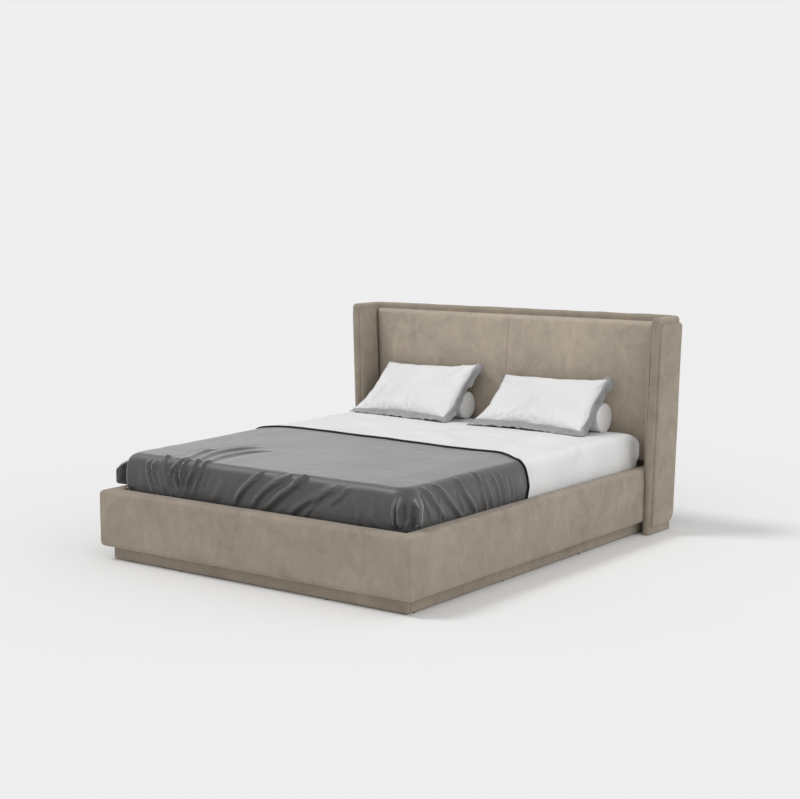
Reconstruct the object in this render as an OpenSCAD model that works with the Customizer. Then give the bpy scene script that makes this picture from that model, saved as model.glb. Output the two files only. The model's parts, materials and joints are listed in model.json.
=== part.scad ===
// Upholstered double bed with a winged headboard, a plinth and a lift-up slatted platform over a storage box.
// Millimetres, +X to the right seen from the foot, +Y towards the head, +Z up, origin on the floor at the centre.

/* [Mattress] */
// Width of the mattress
mattress_w = 1600; // [1400:50:1800]
// Length of the mattress
mattress_l = 1980; // [1900:10:2050]
// Thickness of the mattress
mattress_t = 208; // [160:4:240]
// Rounding of the mattress edges
mattress_r = 38; // [20:2:50]
// Radius of the mattress corners in plan
corner_r = 80; // [60:5:100]

/* [Box and rails] */
// Gap between the mattress and the side rails
side_gap = 20; // [16:1:30]
// Gap between the mattress and the foot rail
foot_gap = 20; // [18:1:30]
// Thickness of the rail boards
board_t = 28; // [20:1:30]
// Thickness of the padding on the outside of the rails
rail_pad_t = 42; // [30:1:50]
// Thickness of the padding on top of the rail boards
rail_top_t = 12; // [8:1:16]
// Rounding of the padded rail edges
rail_r = 22; // [12:1:28]
// Height of the padded rail
rail_h = 268; // [250:2:300]
// Depth of the slatted deck below the rail's top
deck_drop = 47; // [45:1:60]

/* [Plinth and floor] */
// Height of the plinth
plinth_h = 62; // [60:1:90]
// Recess of the plinth behind the rail's face
plinth_recess = 42; // [42:1:60]
// Thickness of the plinth boards
plinth_t = 18; // [15:1:22]
// Thickness of the glides under the plinth and the wings
glide_t = 4; // [3:0.5:6]
// Radius of a glide
glide_r = 8; // [6:0.5:8]
// Thickness of the storage floor panels
floor_t = 10; // [6:1:12]
// Width of the joist under the storage floor
joist_w = 60; // [40:5:80]

/* [Headboard] */
// Height of the headboard
head_h = 1090; // [950:10:1200]
// Depth of the wings from nose to back
head_d = 245; // [220:5:280]
// Thickness of the wrapped headboard frame
shell_t = 43; // [38:1:48]
// Thickness of the boards inside the headboard frame
core_t = 18; // [15:1:22]
// Length by which the mattress reaches past the noses of the wings
nose_over = 98; // [80:2:110]
// Outward lean of the wings in degrees
wing_lean = 1.7; // [0:0.1:3]
// Thickness of the pads on the outside of the wings
side_pad_t = 12; // [8:1:20]
// Distance of the pads from the top edge of the frame
pad_inset = 34; // [25:1:50]
// Least thickness of the back pad, at its sides
back_pad_t = 32; // [25:1:45]
// Crown of the back pad at its middle
back_crown = 52; // [20:1:55]
// Least thickness of the pads on the inside of the wings
wing_pad_t = 8; // [5:1:12]
// Crown of the pads on the inside of the wings
wing_crown = 24; // [10:1:26]

/* [Lift mechanism] */
// Side of the square tube of the slatted frame
tube = 30; // [25:1:32]
// Length of the lift crank between its pivots
crank_l = 300; // [280:5:320]
// Slope of the crank when the bed is closed
crank_rest = 30; // [28:0.5:32]
// Distance of the platform pivot from the mattress's head end
pivot_back = 366; // [340:2:400]
// Width of the lift arms
arm_w = 26; // [22:1:28]
// Thickness of the lift arms
arm_t = 5; // [4:0.5:5]
// Thickness of the lift's side plates
plate_t = 5; // [4:0.5:5]
// Radius of the pivot pins
pin_r = 5; // [4:0.5:6]
// Running clearance of a pin in its eye
pin_gap = 0.1; // [0.1:0.05:0.3]
// Radius of the gas strut's cylinder
strut_r = 9; // [8:0.5:10]
// Radius of the gas strut's rod
rod_r = 4; // [3:0.5:5]

/* [Slats] */
// Number of slats on each side
slat_n = 13; // [10:1:16]
// Width of a slat
slat_w = 63; // [50:1:70]
// Thickness of a slat
slat_t = 8; // [8:1:10]

/* [Bedding] */
// Thickness of the sheet
sheet_t = 3; // [2:0.5:4]
// Thickness of the blanket
blanket_t = 6; // [4:0.5:7]
// Length of mattress that the blanket leaves bare at the head
bare_l = 955; // [800:5:1100]
// Depth of the folds in the blanket
fold_d = 7; // [3:0.5:9]
// Width of a pillow without its flange
pillow_w = 570; // [500:10:620]
// Length of a pillow without its flange
pillow_l = 350; // [300:10:400]
// Thickness of a pillow at its middle
pillow_t = 104; // [80:2:110]
// Width of the flange round a pillow
flange_w = 42; // [30:1:50]
// Slope of the pillows in degrees
pillow_tilt = 38; // [28:1:40]
// Radius of a bolster
bolster_r = 73; // [60:1:75]
// Length of a bolster
bolster_l = 560; // [450:10:600]

/* [Hidden] */
$fn = 48;

// Clearance between pieces that lie against each other without being joined
seat = 0.3;
// Thickness of a pillow at its seam and of its flange
seam_t = 2.6;
// Small overlap of cutting bodies past the faces they cut
past = 1;

// Overall places
rail_top = plinth_h + rail_h;
rail_in = mattress_w / 2 + side_gap;
board_out = rail_in + board_t;
rail_out = board_out + rail_pad_t;
foot_in = rail_pad_t + board_t;
rail_l = foot_in + foot_gap + mattress_l - nose_over;
bed_l = rail_l + head_d;
y_foot = -bed_l / 2;
y_nose = y_foot + rail_l;
y_back = bed_l / 2;
mattress_foot = y_foot + foot_in + foot_gap;
mattress_head = mattress_foot + mattress_l;

// Heights
deck_z = rail_top - deck_drop;
tube_top = deck_z - slat_t;
tube_z = tube_top - tube;
mattress_top = deck_z + mattress_t;
sheet_top = mattress_top + sheet_t;
board_top = rail_top - rail_top_t;

// Headboard places
side_pad_over = 5;
shell_back = y_back - side_pad_over;
shell_front = shell_back - shell_t;
wing_in = rail_out + seat - rail_top * tan(wing_lean);
wing_out = wing_in + shell_t / cos(wing_lean);
nose_gap = 2;
head_gap = 14;
cross_front = mattress_head + head_gap;
pad_clear = 5;
pad_bottom = rail_top + pad_clear;
pad_top = head_h - pad_inset;

// Lift geometry, in the plane of one side, as [y, z]
frame_inset = 10;
frame_half = mattress_w / 2 - frame_inset;
pivot_drop = 7;
rocker_low = [80, 50];
rocker_high = [40, 30];
strut_high = [0, 65];
strut_low = [240, 62];
pivot_b = [mattress_head - pivot_back, tube_z - pivot_drop];
pivot_a = pivot_b - crank_l * [cos(crank_rest), sin(crank_rest)];
pivot_c = pivot_a + rocker_low;
pivot_d = pivot_b + rocker_high;
strut_f = pivot_a + strut_high;
strut_e = pivot_a + strut_low;
rocker_l = norm(pivot_d - pivot_c);
rocker_rest = atan2(pivot_d[1] - pivot_c[1], pivot_d[0] - pivot_c[0]);
strut_rest = atan2(strut_f[1] - strut_e[1], strut_f[0] - strut_e[0]);
strut_l = norm(strut_f - strut_e);
// Free travel in the open eyes, where the closed linkage is opened
rocker_play = 3.4;
strut_play = 5.8;
layer_gap = 2;
strut_side = 6;
plate_x = rail_in - plate_t;
rocker_x = plate_x - layer_gap - arm_t;
crank_x = rocker_x - layer_gap - arm_t;
bracket_t = 6;
bracket_x = frame_half;
strut_x = crank_x - strut_side - strut_r;
stud_r = 4;
eye_t = 12;

// Rounded rectangle from a corner at the origin
module round_rect(w, h, r) {
    translate([r, 0]) square([w - 2 * r, h]);
    translate([0, r]) square([w, h - 2 * r]);
    for (x = [r, w - r], y = [r, h - r]) translate([x, y]) circle(r);
}

// Slab with its lowest corner at the origin, corners rounded by rp in plan and edges rolled by r
module soft_slab(size, r, rp) {
    hull() for (x = [rp, size[0] - rp], y = [rp, size[1] - rp], z = [r, size[2] - r]) translate([x, y, z])
        rotate_extrude($fn = 32) translate([rp - r, 0]) circle(r, $fn = 32);
}

// What is modelled for the right side, mirrored where s is -1
module on_side(s) {
    mirror([s < 0 ? 1 : 0, 0, 0]) children();
}

// Cylinder along X from x0 to x1 at a place given as [y, z]
module rod_x(x0, x1, at, r) {
    translate([x0, at[0], at[1]]) rotate([0, 90, 0]) cylinder(h = x1 - x0, r = r);
}

// Closed solid between two grids of points of the same size. With rows to the right and points upwards in a row,
// the second grid is the nearer one
module grid_solid(far, near) {
    n = len(far);
    m = len(far[0]);
    points = [for (g = [far, near], row = g, p = row) p];
    function at(g, i, j) = g * n * m + i * m + j;
    faces = concat(
        [for (i = [0:n - 2], j = [0:m - 2], t = [0, 1]) t == 0
            ? [at(0, i, j), at(0, i + 1, j), at(0, i + 1, j + 1)]
            : [at(0, i, j), at(0, i + 1, j + 1), at(0, i, j + 1)]],
        [for (i = [0:n - 2], j = [0:m - 2], t = [0, 1]) t == 0
            ? [at(1, i, j), at(1, i + 1, j + 1), at(1, i + 1, j)]
            : [at(1, i, j), at(1, i, j + 1), at(1, i + 1, j + 1)]],
        [for (i = [0:n - 2], t = [0, 1]) t == 0
            ? [at(0, i, 0), at(1, i, 0), at(1, i + 1, 0)]
            : [at(0, i, 0), at(1, i + 1, 0), at(0, i + 1, 0)]],
        [for (i = [0:n - 2], t = [0, 1]) t == 0
            ? [at(0, i, m - 1), at(1, i + 1, m - 1), at(1, i, m - 1)]
            : [at(0, i, m - 1), at(0, i + 1, m - 1), at(1, i + 1, m - 1)]],
        [for (j = [0:m - 2], t = [0, 1]) t == 0
            ? [at(0, 0, j), at(1, 0, j + 1), at(1, 0, j)]
            : [at(0, 0, j), at(0, 0, j + 1), at(1, 0, j + 1)]],
        [for (j = [0:m - 2], t = [0, 1]) t == 0
            ? [at(0, n - 1, j), at(1, n - 1, j), at(1, n - 1, j + 1)]
            : [at(0, n - 1, j), at(1, n - 1, j + 1), at(0, n - 1, j + 1)]]);
    polyhedron(points, faces, convexity = 6);
}

// Rail boards

module rail_board() {
    translate([rail_in, y_foot + foot_in, plinth_h])
        cube([board_t, shell_front - seat - y_foot - foot_in, board_top - plinth_h]);
}

module rail_board_foot() {
    color("burlywood") translate([-board_out, y_foot + rail_pad_t, plinth_h])
        cube([2 * board_out, board_t, board_top - plinth_h]);
}

module head_cross_board() {
    color("burlywood") translate([-rail_in, cross_front, plinth_h])
        cube([2 * rail_in, board_t, board_top - plinth_h]);
}

// Padded velvet cover of a rail: outside padding with a lip over the board's top
module cover_profile() {
    difference() {
        union() {
            translate([rail_in, plinth_h + rail_r]) square([rail_out - rail_in, rail_h - 2 * rail_r]);
            translate([rail_in, plinth_h]) square([rail_out - rail_in - rail_r, rail_h]);
            for (z = [plinth_h + rail_r, rail_top - rail_r]) translate([rail_out - rail_r, z]) circle(rail_r);
        }
        translate([rail_in - past, plinth_h - past]) square([board_t + past, board_top - plinth_h + past]);
    }
}

// Foot corner cut at 45 degrees, as a prism that holds the side rail's part
module mitre(side) {
    c = y_foot + rail_out;
    far = 2 * bed_l;
    linear_extrude(head_h)
        polygon(side ? [[rail_out + past, y_foot - past], [0, c], [0, far], [far, far], [far, y_foot - past]]
                     : [[-rail_out - past, y_foot - past], [0, c], [rail_out + past, y_foot - past]]);
}

// The cover runs on between the wings to the headboard, cut back to the wing's face and round the wood blocks
module rail_cover() {
    intersection() {
        difference() {
            translate([0, shell_front - seat, 0]) rotate([90, 0, 0]) linear_extrude(shell_front - seat - y_foot)
                cover_profile();
            leaning() translate([-seat, y_nose - nose_gap, -head_h]) cube([2 * shell_t, head_d, 3 * head_h]);
            for (z = packer_z) translate([board_out - past, y_nose + packer_in - seat, z - seat])
                cube([2 * shell_t, packer_l + 2 * seat, packer_h + 2 * seat]);
        }
        mitre(true);
    }
}

module rail_cover_foot() {
    color("tan") intersection() {
        translate([-rail_out, 0, 0]) rotate([90, 0, 90]) linear_extrude(2 * rail_out)
            mirror([1, 0]) translate([-y_foot - rail_out, 0]) cover_profile();
        mitre(false);
    }
}

// Steel angles that join the boards at the four inner corners
bracket_leg = 60;
bracket_h = 140;
angle_t = 4;
bolt_end = 30;
bolt_off = 38;
bracket_z = plinth_h + bolt_end;

module corner_bracket(y, dir) {
    translate([rail_in, y, bracket_z]) mirror([0, dir < 0 ? 1 : 0, 0]) difference() {
        union() {
            translate([-angle_t, 0, 0]) cube([angle_t, bracket_leg, bracket_h]);
            translate([-bracket_leg, 0, 0]) cube([bracket_leg, angle_t, bracket_h]);
        }
        for (z = [bolt_end, bracket_h - bolt_end]) {
            rod_x(-angle_t - past, past, [bolt_off, z], bolt_r + pin_gap);
            translate([-bolt_off, angle_t + past, z]) rotate([90, 0, 0])
                cylinder(h = angle_t + 2 * past, r = bolt_r + pin_gap);
        }
    }
}

module corner_brackets() {
    color("dimgray") for (s = [-1, 1]) on_side(s) {
        corner_bracket(y_foot + foot_in, 1);
        corner_bracket(cross_front, -1);
    }
}

// Round-headed bolts through the corner angles into the boards
bolt_r = 4;
head_r = 8;
head_t = 4;

module bolt_x(at) {
    rod_x(rail_in - angle_t - head_t, rail_in - angle_t, at, head_r);
    rod_x(rail_in - angle_t - past, rail_in, at, bolt_r);
}

module rail_bolts() {
    color("silver") for (s = [-1, 1], z = [bolt_end, bracket_h - bolt_end]) on_side(s) {
        bolt_x([y_foot + foot_in + bolt_off, bracket_z + z]);
        bolt_x([cross_front - bolt_off, bracket_z + z]);
    }
}

// Plinth

plinth_out = rail_out - plinth_recess;
plinth_foot_y = y_foot + plinth_recess;
plinth_end = cross_front + board_t;
glide_in = 30;

module plinth_side() {
    translate([plinth_out - plinth_t, plinth_foot_y + plinth_t, glide_t])
        cube([plinth_t, plinth_end - plinth_foot_y - plinth_t, plinth_h - glide_t]);
}

module plinth_foot() {
    color("rosybrown") translate([-plinth_out, plinth_foot_y, glide_t])
        cube([2 * plinth_out, plinth_t, plinth_h - glide_t]);
}

module plinth_head() {
    color("burlywood") translate([-plinth_out + plinth_t, plinth_end - plinth_t, glide_t])
        cube([2 * (plinth_out - plinth_t), plinth_t, plinth_h - glide_t]);
}

// Glides under the plinth, the joist and the wings
module glides() {
    color("black") for (s = [-1, 1]) on_side(s) {
        for (k = [0:3]) translate([plinth_out - plinth_t / 2,
            plinth_foot_y + plinth_t + glide_in + k * (plinth_end - plinth_foot_y - plinth_t - 2 * glide_in) / 3, 0])
            cylinder(h = glide_t, r = glide_r);
        translate([plinth_out / 2, plinth_foot_y + plinth_t / 2, 0]) cylinder(h = glide_t, r = glide_r);
        for (y = [y_nose + 2 * glide_in, shell_back - 2 * glide_in])
            translate([(wing_in + wing_out) / 2, y, 0]) cylinder(h = glide_t, r = glide_r);
    }
}

// Storage floor: a joist along the middle and two panels that lie on it and on the plinth's ledges
floor_z = plinth_h - 2 * floor_t;
module floor_joist() {
    color("burlywood") translate([-joist_w / 2, plinth_foot_y + plinth_t, glide_t])
        cube([joist_w, plinth_end - plinth_foot_y - 2 * plinth_t, floor_z - glide_t]);
}

module floor_panel() {
    translate([seat, plinth_foot_y + plinth_t + seat, floor_z])
        cube([plinth_out - plinth_t - 2 * seat, plinth_end - plinth_foot_y - 2 * plinth_t - 2 * seat, floor_t]);
}

// Battens on the rails that the slatted frame comes down on, with rubber bumpers
ledge_w = 50;
ledge_h = 40;
ledge_l = 950;
ledge_gap = 20;
bumper_t = 5;
bumper_r = 11;
ledge_top = tube_z - bumper_t;
module ledge_battens() {
    color("burlywood") {
        for (s = [-1, 1]) on_side(s)
            translate([rail_in - ledge_w, y_foot + foot_in + bracket_leg + ledge_gap, ledge_top - ledge_h])
                cube([ledge_w, ledge_l, ledge_h]);
        translate([-rail_in + bracket_leg + ledge_gap, y_foot + foot_in, ledge_top - ledge_h])
            cube([2 * (rail_in - bracket_leg - ledge_gap), ledge_w, ledge_h]);
    }
}

module rest_bumpers() {
    color("black") for (s = [-1, 1]) on_side(s) {
        for (y = [2 * ledge_w, ledge_l - ledge_w])
            translate([frame_half - tube / 2, y_foot + foot_in + bracket_leg + ledge_gap + y, ledge_top])
                cylinder(h = bumper_t - seat, r = bumper_r);
        translate([rail_in / 2, frame_foot + tube / 2, ledge_top])
            cylinder(h = bumper_t - seat, r = bumper_r);
    }
}

// Headboard

// Side view of a wing, from nose to back: rounded at the top corners and more at the low back corner
r_top = 24;
r_low = 55;
module wing_side(front, top, bottom, back) {
    l = y_nose + front;
    r = shell_back + back;
    difference() {
        union() {
            translate([l, bottom]) square([r - l - r_low, top - bottom - r_top]);
            translate([l, bottom + r_low]) square([r - l, top - bottom - r_top - r_low]);
            translate([l + r_top, bottom + r_low]) square([r - l - 2 * r_top, top - bottom - r_low]);
            for (y = [l + r_top, r - r_top]) translate([y, top - r_top]) circle(r_top);
            translate([r - r_low, bottom + r_low]) circle(r_low);
        }
        translate([l - past, bottom - r_low]) square([r - l + 2 * past, r_low]);
    }
}

// Upright slab in a wing's own frame, before it leans, from x0 to x1, with its upright and top edges rounded by r
module wing_slab(x0, x1, front, top, bottom, back, r) {
    intersection() {
        translate([x0, 0, 0]) rotate([90, 0, 90]) linear_extrude(x1 - x0) wing_side(front, top, bottom, back);
        translate([x0, y_nose + front, bottom - past]) linear_extrude(top - bottom + 2 * past)
            round_rect(x1 - x0, shell_back + back - y_nose - front, r);
        translate([x0, shell_back + back, bottom - r]) rotate([90, 0, 0])
            linear_extrude(shell_back + back - y_nose - front) round_rect(x1 - x0, top - bottom + r, r);
    }
}

// Leans what stands at x = 0 outwards and sets it at the wing's place
module leaning() {
    translate([wing_in, 0, 0]) rotate([0, wing_lean, 0]) children();
}

wing_top = head_h / cos(wing_lean);
core_x = (shell_t - core_t) / 2;

module wing_core() {
    intersection() {
        leaning() translate([core_x, y_nose + core_x, 0])
            cube([core_t, shell_back - y_nose - 2 * core_x, wing_top - core_x]);
        translate([0, 0, glide_t]) linear_extrude(2 * head_h) square(2 * bed_l);
    }
}

// Part of the round low corner that is cut off at the floor
low_cut = 40;
module wing_shell() {
    difference() {
        intersection() {
            leaning() wing_slab(0, shell_t, 0, wing_top, -low_cut, 0, shell_t / 2 - 0.5);
            translate([0, -2 * bed_l, glide_t]) linear_extrude(head_h - glide_t) square(4 * bed_l);
        }
        leaning() translate([core_x - seat, y_nose + core_x - seat, -head_h])
            cube([core_t + 2 * seat, shell_back - y_nose - 2 * core_x + 2 * seat, wing_top - core_x + head_h + seat]);
    }
}

// Wood blocks between the rail boards and the wings, which carry the headboard bolts
packer_l = 120;
packer_h = 60;
packer_in = 40;
packer_gap = 20;
packer_z = [plinth_h + packer_gap, board_top - packer_gap - packer_h];
module wing_packers() {
    color("burlywood") for (s = [-1, 1], z = packer_z) on_side(s) difference() {
        translate([board_out, y_nose + packer_in, z]) cube([wing_out - board_out, packer_l, packer_h]);
        leaning() translate([-seat, y_nose - past, -head_h]) cube([2 * shell_t, head_d + 2 * past, 3 * head_h]);
    }
}

// Upright panel between the wings, as a front view that follows their lean
module between_wings(gap, bottom, top) {
    x0 = wing_in + bottom * tan(wing_lean) - gap;
    x1 = wing_in + top * tan(wing_lean) - gap;
    polygon([[-x0, bottom], [x0, bottom], [x1, top], [-x1, top]]);
}

module headboard_core() {
    color("burlywood") translate([0, shell_back - core_x, 0]) rotate([90, 0, 0]) linear_extrude(core_t)
        between_wings(core_x, core_x + core_t, head_h - core_x);
}

// Wrapped back of the headboard with a round top edge
module headboard_shell() {
    r = shell_t / 2 - 0.5;
    color("tan") difference() {
        intersection() {
            translate([0, shell_back, 0]) rotate([90, 0, 0]) linear_extrude(shell_t)
                between_wings(seat, core_t + glide_t, head_h);
            translate([-bed_w_max, shell_front, -r]) rotate([90, 0, 90]) linear_extrude(2 * bed_w_max)
                round_rect(shell_t, head_h + r, r);
        }
        translate([0, shell_back - core_x + seat, 0]) rotate([90, 0, 0]) linear_extrude(core_t + 2 * seat)
            between_wings(core_x - seat, -past, head_h - core_x + seat);
    }
}
bed_w_max = wing_out + head_h;

// Crowned pads. Each is a grid of points over its face, with a soft rounded rim
pad_nx = 22;
pad_nz = 14;
rim = 0.05;

// Even steps with extra ones near both ends, from 0 to 1
function steps(n, e) = concat([0, e * 0.35, e], [for (i = [1:n - 5]) e + (1 - 2 * e) * i / (n - 4)],
    [1 - e, 1 - e * 0.35, 1]);
// Rise of the rim from 0 at the edge to 1 inside
function rise(u, e) = let (d = min(u, 1 - u)) d >= e ? 1 : sqrt(1 - pow(1 - d / e, 2));
// Crown of a pad, from 0 at its edges to 1 in the middle
function crown(u) = 1 - pow(2 * u - 1, 2);

// Back pad between the wings, thickest in its middle, with one upright seam drawn in at the centre
pad_back = shell_front - seat;
function pad_half(z) = wing_in + z * tan(wing_lean) - seat;
function back_face(u, w) =
    pad_back - (4 + (back_pad_t - 4) * rise(u, rim) * rise(w, rim)
    + back_crown * crown(u) * pow(crown(w), 0.35) * rise(w, rim) - 5 * exp(-pow((u - 0.5) * 90, 2)));
module headboard_pad() {
    us = steps(pad_nx, rim);
    ws = steps(pad_nz, rim);
    function skin(front) = [for (u = us) [for (w = ws) let (z = pad_bottom + w * (pad_top - pad_bottom))
        [(2 * u - 1) * pad_half(z), front ? back_face(u, w) : pad_back, z]]];
    color("tan") grid_solid(skin(false), skin(true));
}

// Inner wing pad in the leaning frame, from behind the nose to the back pad
wing_pad_front = 12;
wing_pad_back = pad_back - back_pad_t - 4;
function wing_face(u, w) = -(2 + (wing_pad_t - 2) * rise(u, 0.12) * rise(w, rim)
    + wing_crown * pow(crown(u), 0.5) * pow(sin(180 * pow(1 - w, 0.75)), 1.5));
module wing_inner_pad() {
    us = steps(9, 0.12);
    ws = steps(pad_nz, rim);
    y0 = y_nose + wing_pad_front;
    function skin(front) = [for (u = us) [for (w = ws) [-seat + (front ? wing_face(u, w) : 0),
        y0 + u * (wing_pad_back - y0), pad_bottom + w * (pad_top - pad_bottom)]]];
    leaning() grid_solid(skin(true), skin(false));
}

// Flat pad on the outside of a wing, with round edges
nose_width = 18;
pad_low = 42;
module wing_side_pad() {
    difference() {
        leaning() wing_slab(shell_t - 2 * side_pad_t, shell_t + side_pad_t, nose_width, wing_top - pad_inset, pad_low,
            side_pad_over, side_pad_t);
        leaning() translate([-shell_t, y_nose - past, -past])
            cube([2 * shell_t + seat, head_d + side_pad_over + 2 * past, 2 * head_h]);
    }
}

// Thin cover over the back of the headboard
panel_t = 2;
panel_in = 25;
panel_edge = 80;
module back_panel() {
    color("dimgray") translate([0, shell_back + panel_t + seat, 0]) rotate([90, 0, 0]) linear_extrude(panel_t)
        between_wings(panel_in, panel_edge, head_h - panel_edge);
}

// Lift mechanism

// Steel plate on the rail board with the fixed pins
plate_margin = 40;
plate_round = 10;
hole_in = 14;
module lift_plate() {
    y0 = pivot_a[0] - plate_margin;
    y1 = strut_e[0] + plate_margin;
    z0 = pivot_a[1] - pin_r - plate_round;
    z1 = strut_e[1] + plate_margin;
    translate([plate_x, 0, 0]) rotate([90, 0, 90]) linear_extrude(plate_t) difference() {
        translate([y0, z0]) round_rect(y1 - y0, z1 - z0, plate_round);
        for (y = [y0 + hole_in, y1 - hole_in], z = [z0 + hole_in, z1 - hole_in]) translate([y, z]) circle(bolt_r);
    }
    rod_x(crank_x - 1.5, plate_x, pivot_a, pin_r);
    rod_x(rocker_x - 0.8, plate_x, pivot_c, pin_r);
    rod_x(strut_x - eye_t / 2 - 1, plate_x, strut_e, stud_r);
}

// Arm along Y with an eye at each end, bored by r0 and r1
module arm(l, r0, r1, e1) {
    difference() {
        union() {
            translate([0, -arm_w / 2]) square([l, arm_w]);
            circle(arm_w / 2);
            translate([l, 0]) circle(e1);
        }
        circle(r0);
        translate([l, 0]) circle(r1);
    }
}

// Crank from the plate to the slatted frame, with a lug for the gas strut
module crank() {
    bore = pin_r + pin_gap;
    translate([crank_x, 0, 0]) rotate([90, 0, 90]) linear_extrude(arm_t) difference() {
        union() {
            translate(pivot_a) rotate(crank_rest) arm(crank_l, bore, bore, arm_w / 2);
            translate(pivot_a) rotate(90) translate([arm_w / 2 - 3, -arm_w / 2])
                square([strut_f[1] - pivot_a[1] - arm_w / 2 + 3, arm_w]);
            translate(strut_f) circle(arm_w / 2);
        }
        translate(pivot_a) circle(bore);
    }
    rod_x(strut_x - eye_t / 2 - 1, crank_x + 1, strut_f, stud_r);
}

// Second arm of the linkage. Its upper eye is wide, because the linkage is opened there
module rocker() {
    translate([rocker_x, 0, 0]) rotate([90, 0, 90]) linear_extrude(arm_t)
        translate(pivot_c) rotate(rocker_rest)
            arm(rocker_l, pin_r + pin_gap, pin_r + rocker_play, pin_r + rocker_play + 6);
}

// Steel bracket on the slatted frame with the moving pins
bracket_l = 150;
module lift_bracket() {
    translate([bracket_x, 0, 0]) rotate([90, 0, 90]) linear_extrude(bracket_t)
        translate([pivot_b[0] - bracket_l / 3, pivot_b[1] - hole_in])
            round_rect(bracket_l, deck_z - 1 - pivot_b[1] + hole_in, 8);
    rod_x(bracket_x + bracket_t - 1, crank_x + arm_t + 1, pivot_b, pin_r);
    rod_x(bracket_x + bracket_t - 1, rocker_x + arm_t + 1, pivot_d, pin_r);
}

// Gas struts, drawn along X from the fixed end and turned to their place
cylinder_l = 0.62 * strut_l;
module strut_place() {
    translate([strut_x, strut_e[0], strut_e[1]]) rotate([strut_rest, 0, 0]) children();
}

module strut_eye(y, bore, r) {
    translate([-eye_t / 2, y, 0]) rotate([0, 90, 0]) difference() {
        cylinder(h = eye_t, r = r);
        translate([0, 0, -past]) cylinder(h = eye_t + 2 * past, r = bore);
    }
}

module strut_cylinders() {
    eye_r = strut_r;
    color("dimgray") for (s = [-1, 1]) on_side(s) strut_place() {
        strut_eye(0, stud_r + pin_gap, eye_r);
        difference() {
            translate([0, eye_r - 2, 0]) rotate([-90, 0, 0]) cylinder(h = cylinder_l - eye_r + 2, r = strut_r);
            translate([0, eye_r + 8, 0]) rotate([-90, 0, 0]) cylinder(h = cylinder_l, r = rod_r + 0.3);
            rotate([0, 90, 0]) cylinder(h = 4 * eye_t, r = stud_r + pin_gap, center = true);
        }
    }
}

module strut_rods() {
    eye_in = stud_r + strut_play;
    eye_out = eye_in + 4.5;
    color("silver") for (s = [-1, 1]) on_side(s) strut_place() {
        strut_eye(strut_l, eye_in, eye_out);
        translate([0, eye_out - 4 + 10, 0]) rotate([-90, 0, 0])
            cylinder(h = strut_l - 2 * eye_out + 4 - 8, r = rod_r);
    }
}

// Slatted frame

frame_foot = mattress_foot + frame_inset;
frame_head = mattress_head - frame_inset;

module frame_side() {
    translate([frame_half - tube, frame_foot + tube, tube_z])
        cube([tube, frame_head - frame_foot - 2 * tube, tube]);
}

module frame_cross(y) {
    translate([-frame_half, y, tube_z]) cube([2 * frame_half, tube, tube]);
}

module frame_tube_centre() {
    color("gray") translate([-tube / 2, frame_foot + tube, tube_z])
        cube([tube, frame_head - frame_foot - 2 * tube, tube]);
}

// Bent beech slats in pairs across the frame, each end in a plastic holder
slat_end = 10;
slat_pitch = (frame_head - frame_foot - slat_w - 2 * slat_end) / (slat_n - 1);
slat_in = 12;
slat_out = frame_half - 14;
holder_t = 1.6;
holder_rim = 3;
holder_over = 12;
function slat_y(k) = frame_foot + slat_end + slat_w / 2 + k * slat_pitch;

module slats() {
    for (k = [0:slat_n - 1]) translate([slat_in, slat_y(k) - slat_w / 2, tube_top + holder_t])
        cube([slat_out - slat_in, slat_w, slat_t - holder_t - seat]);
}

module slat_holders() {
    color("black") for (s = [-1, 1]) on_side(s) for (k = [0:slat_n - 1]) difference() {
        for (x = [[holder_rim, tube / 2 + holder_over], [frame_half - tube - holder_over, slat_out + holder_rim]])
            translate([x[0], slat_y(k) - slat_w / 2 - holder_rim, tube_top])
                cube([x[1] - x[0], slat_w + 2 * holder_rim, slat_t - seat]);
        translate([slat_in - seat, slat_y(k) - slat_w / 2 - seat, tube_top + holder_t])
            cube([slat_out - slat_in + 2 * seat, slat_w + 2 * seat, slat_t]);
    }
}

// Webbing tab at the foot to lift the platform by, folded flat against the foot tube
strap_w = 60;
strap_t = 3;
module pull_strap() {
    color("black") translate([-strap_w / 2, frame_foot - strap_t, tube_z])
        cube([strap_w, strap_t, tube + slat_t / 2]);
}

// Bedding

module mattress() {
    color("whitesmoke") translate([-mattress_w / 2, mattress_foot, deck_z])
        soft_slab([mattress_w, mattress_l, mattress_t], mattress_r, corner_r);
}

// Sheet and blanket are rings of points that climb the mattress's sides and roll over its edges. A station says how a
// ring lies: [inset, height, outward part, upward part]
edge_r = mattress_r + sheet_t;
plan_r = corner_r + sheet_t;
half_w = mattress_w / 2 + sheet_t;
end_y = mattress_foot - sheet_t;
function edge_stations(n) = [for (k = [0:n]) let (a = 90 * k / n)
    [edge_r * (1 - cos(a)), sheet_top - edge_r + edge_r * sin(a), cos(a), sin(a)]];
// Point of a ring at station s, path point p as [place, outward direction], moved outwards by d
function on_ring(s, p, d) = let (o = p[0] + p[1] * (d * s[2] - s[0])) [o[0], o[1], s[1] + d * s[3]];
function on_arc(centre, a) = [centre + plan_r * [cos(a), sin(a)], [cos(a), sin(a)]];

// Closed solid between two skins of the same points. The faces are those of the outer skin, seen from outside, and
// edge is the loop of points along its open edge
module skin_solid(outer, inner, faces, edge) {
    n = len(outer);
    m = len(edge);
    rim = [for (k = [0:m - 1]) let (p = edge[k], q = edge[(k + 1) % m]) each [[p, q, q + n], [p, q + n, p + n]]];
    inward = [for (f = faces) [for (i = [len(f) - 1:-1:0]) f[i] + n]];
    polyhedron(concat(outer, inner), concat(faces, inward, rim), convexity = 6);
}
function halves(a, b, c, d) = [[a, b, c], [a, c, d]];

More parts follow.
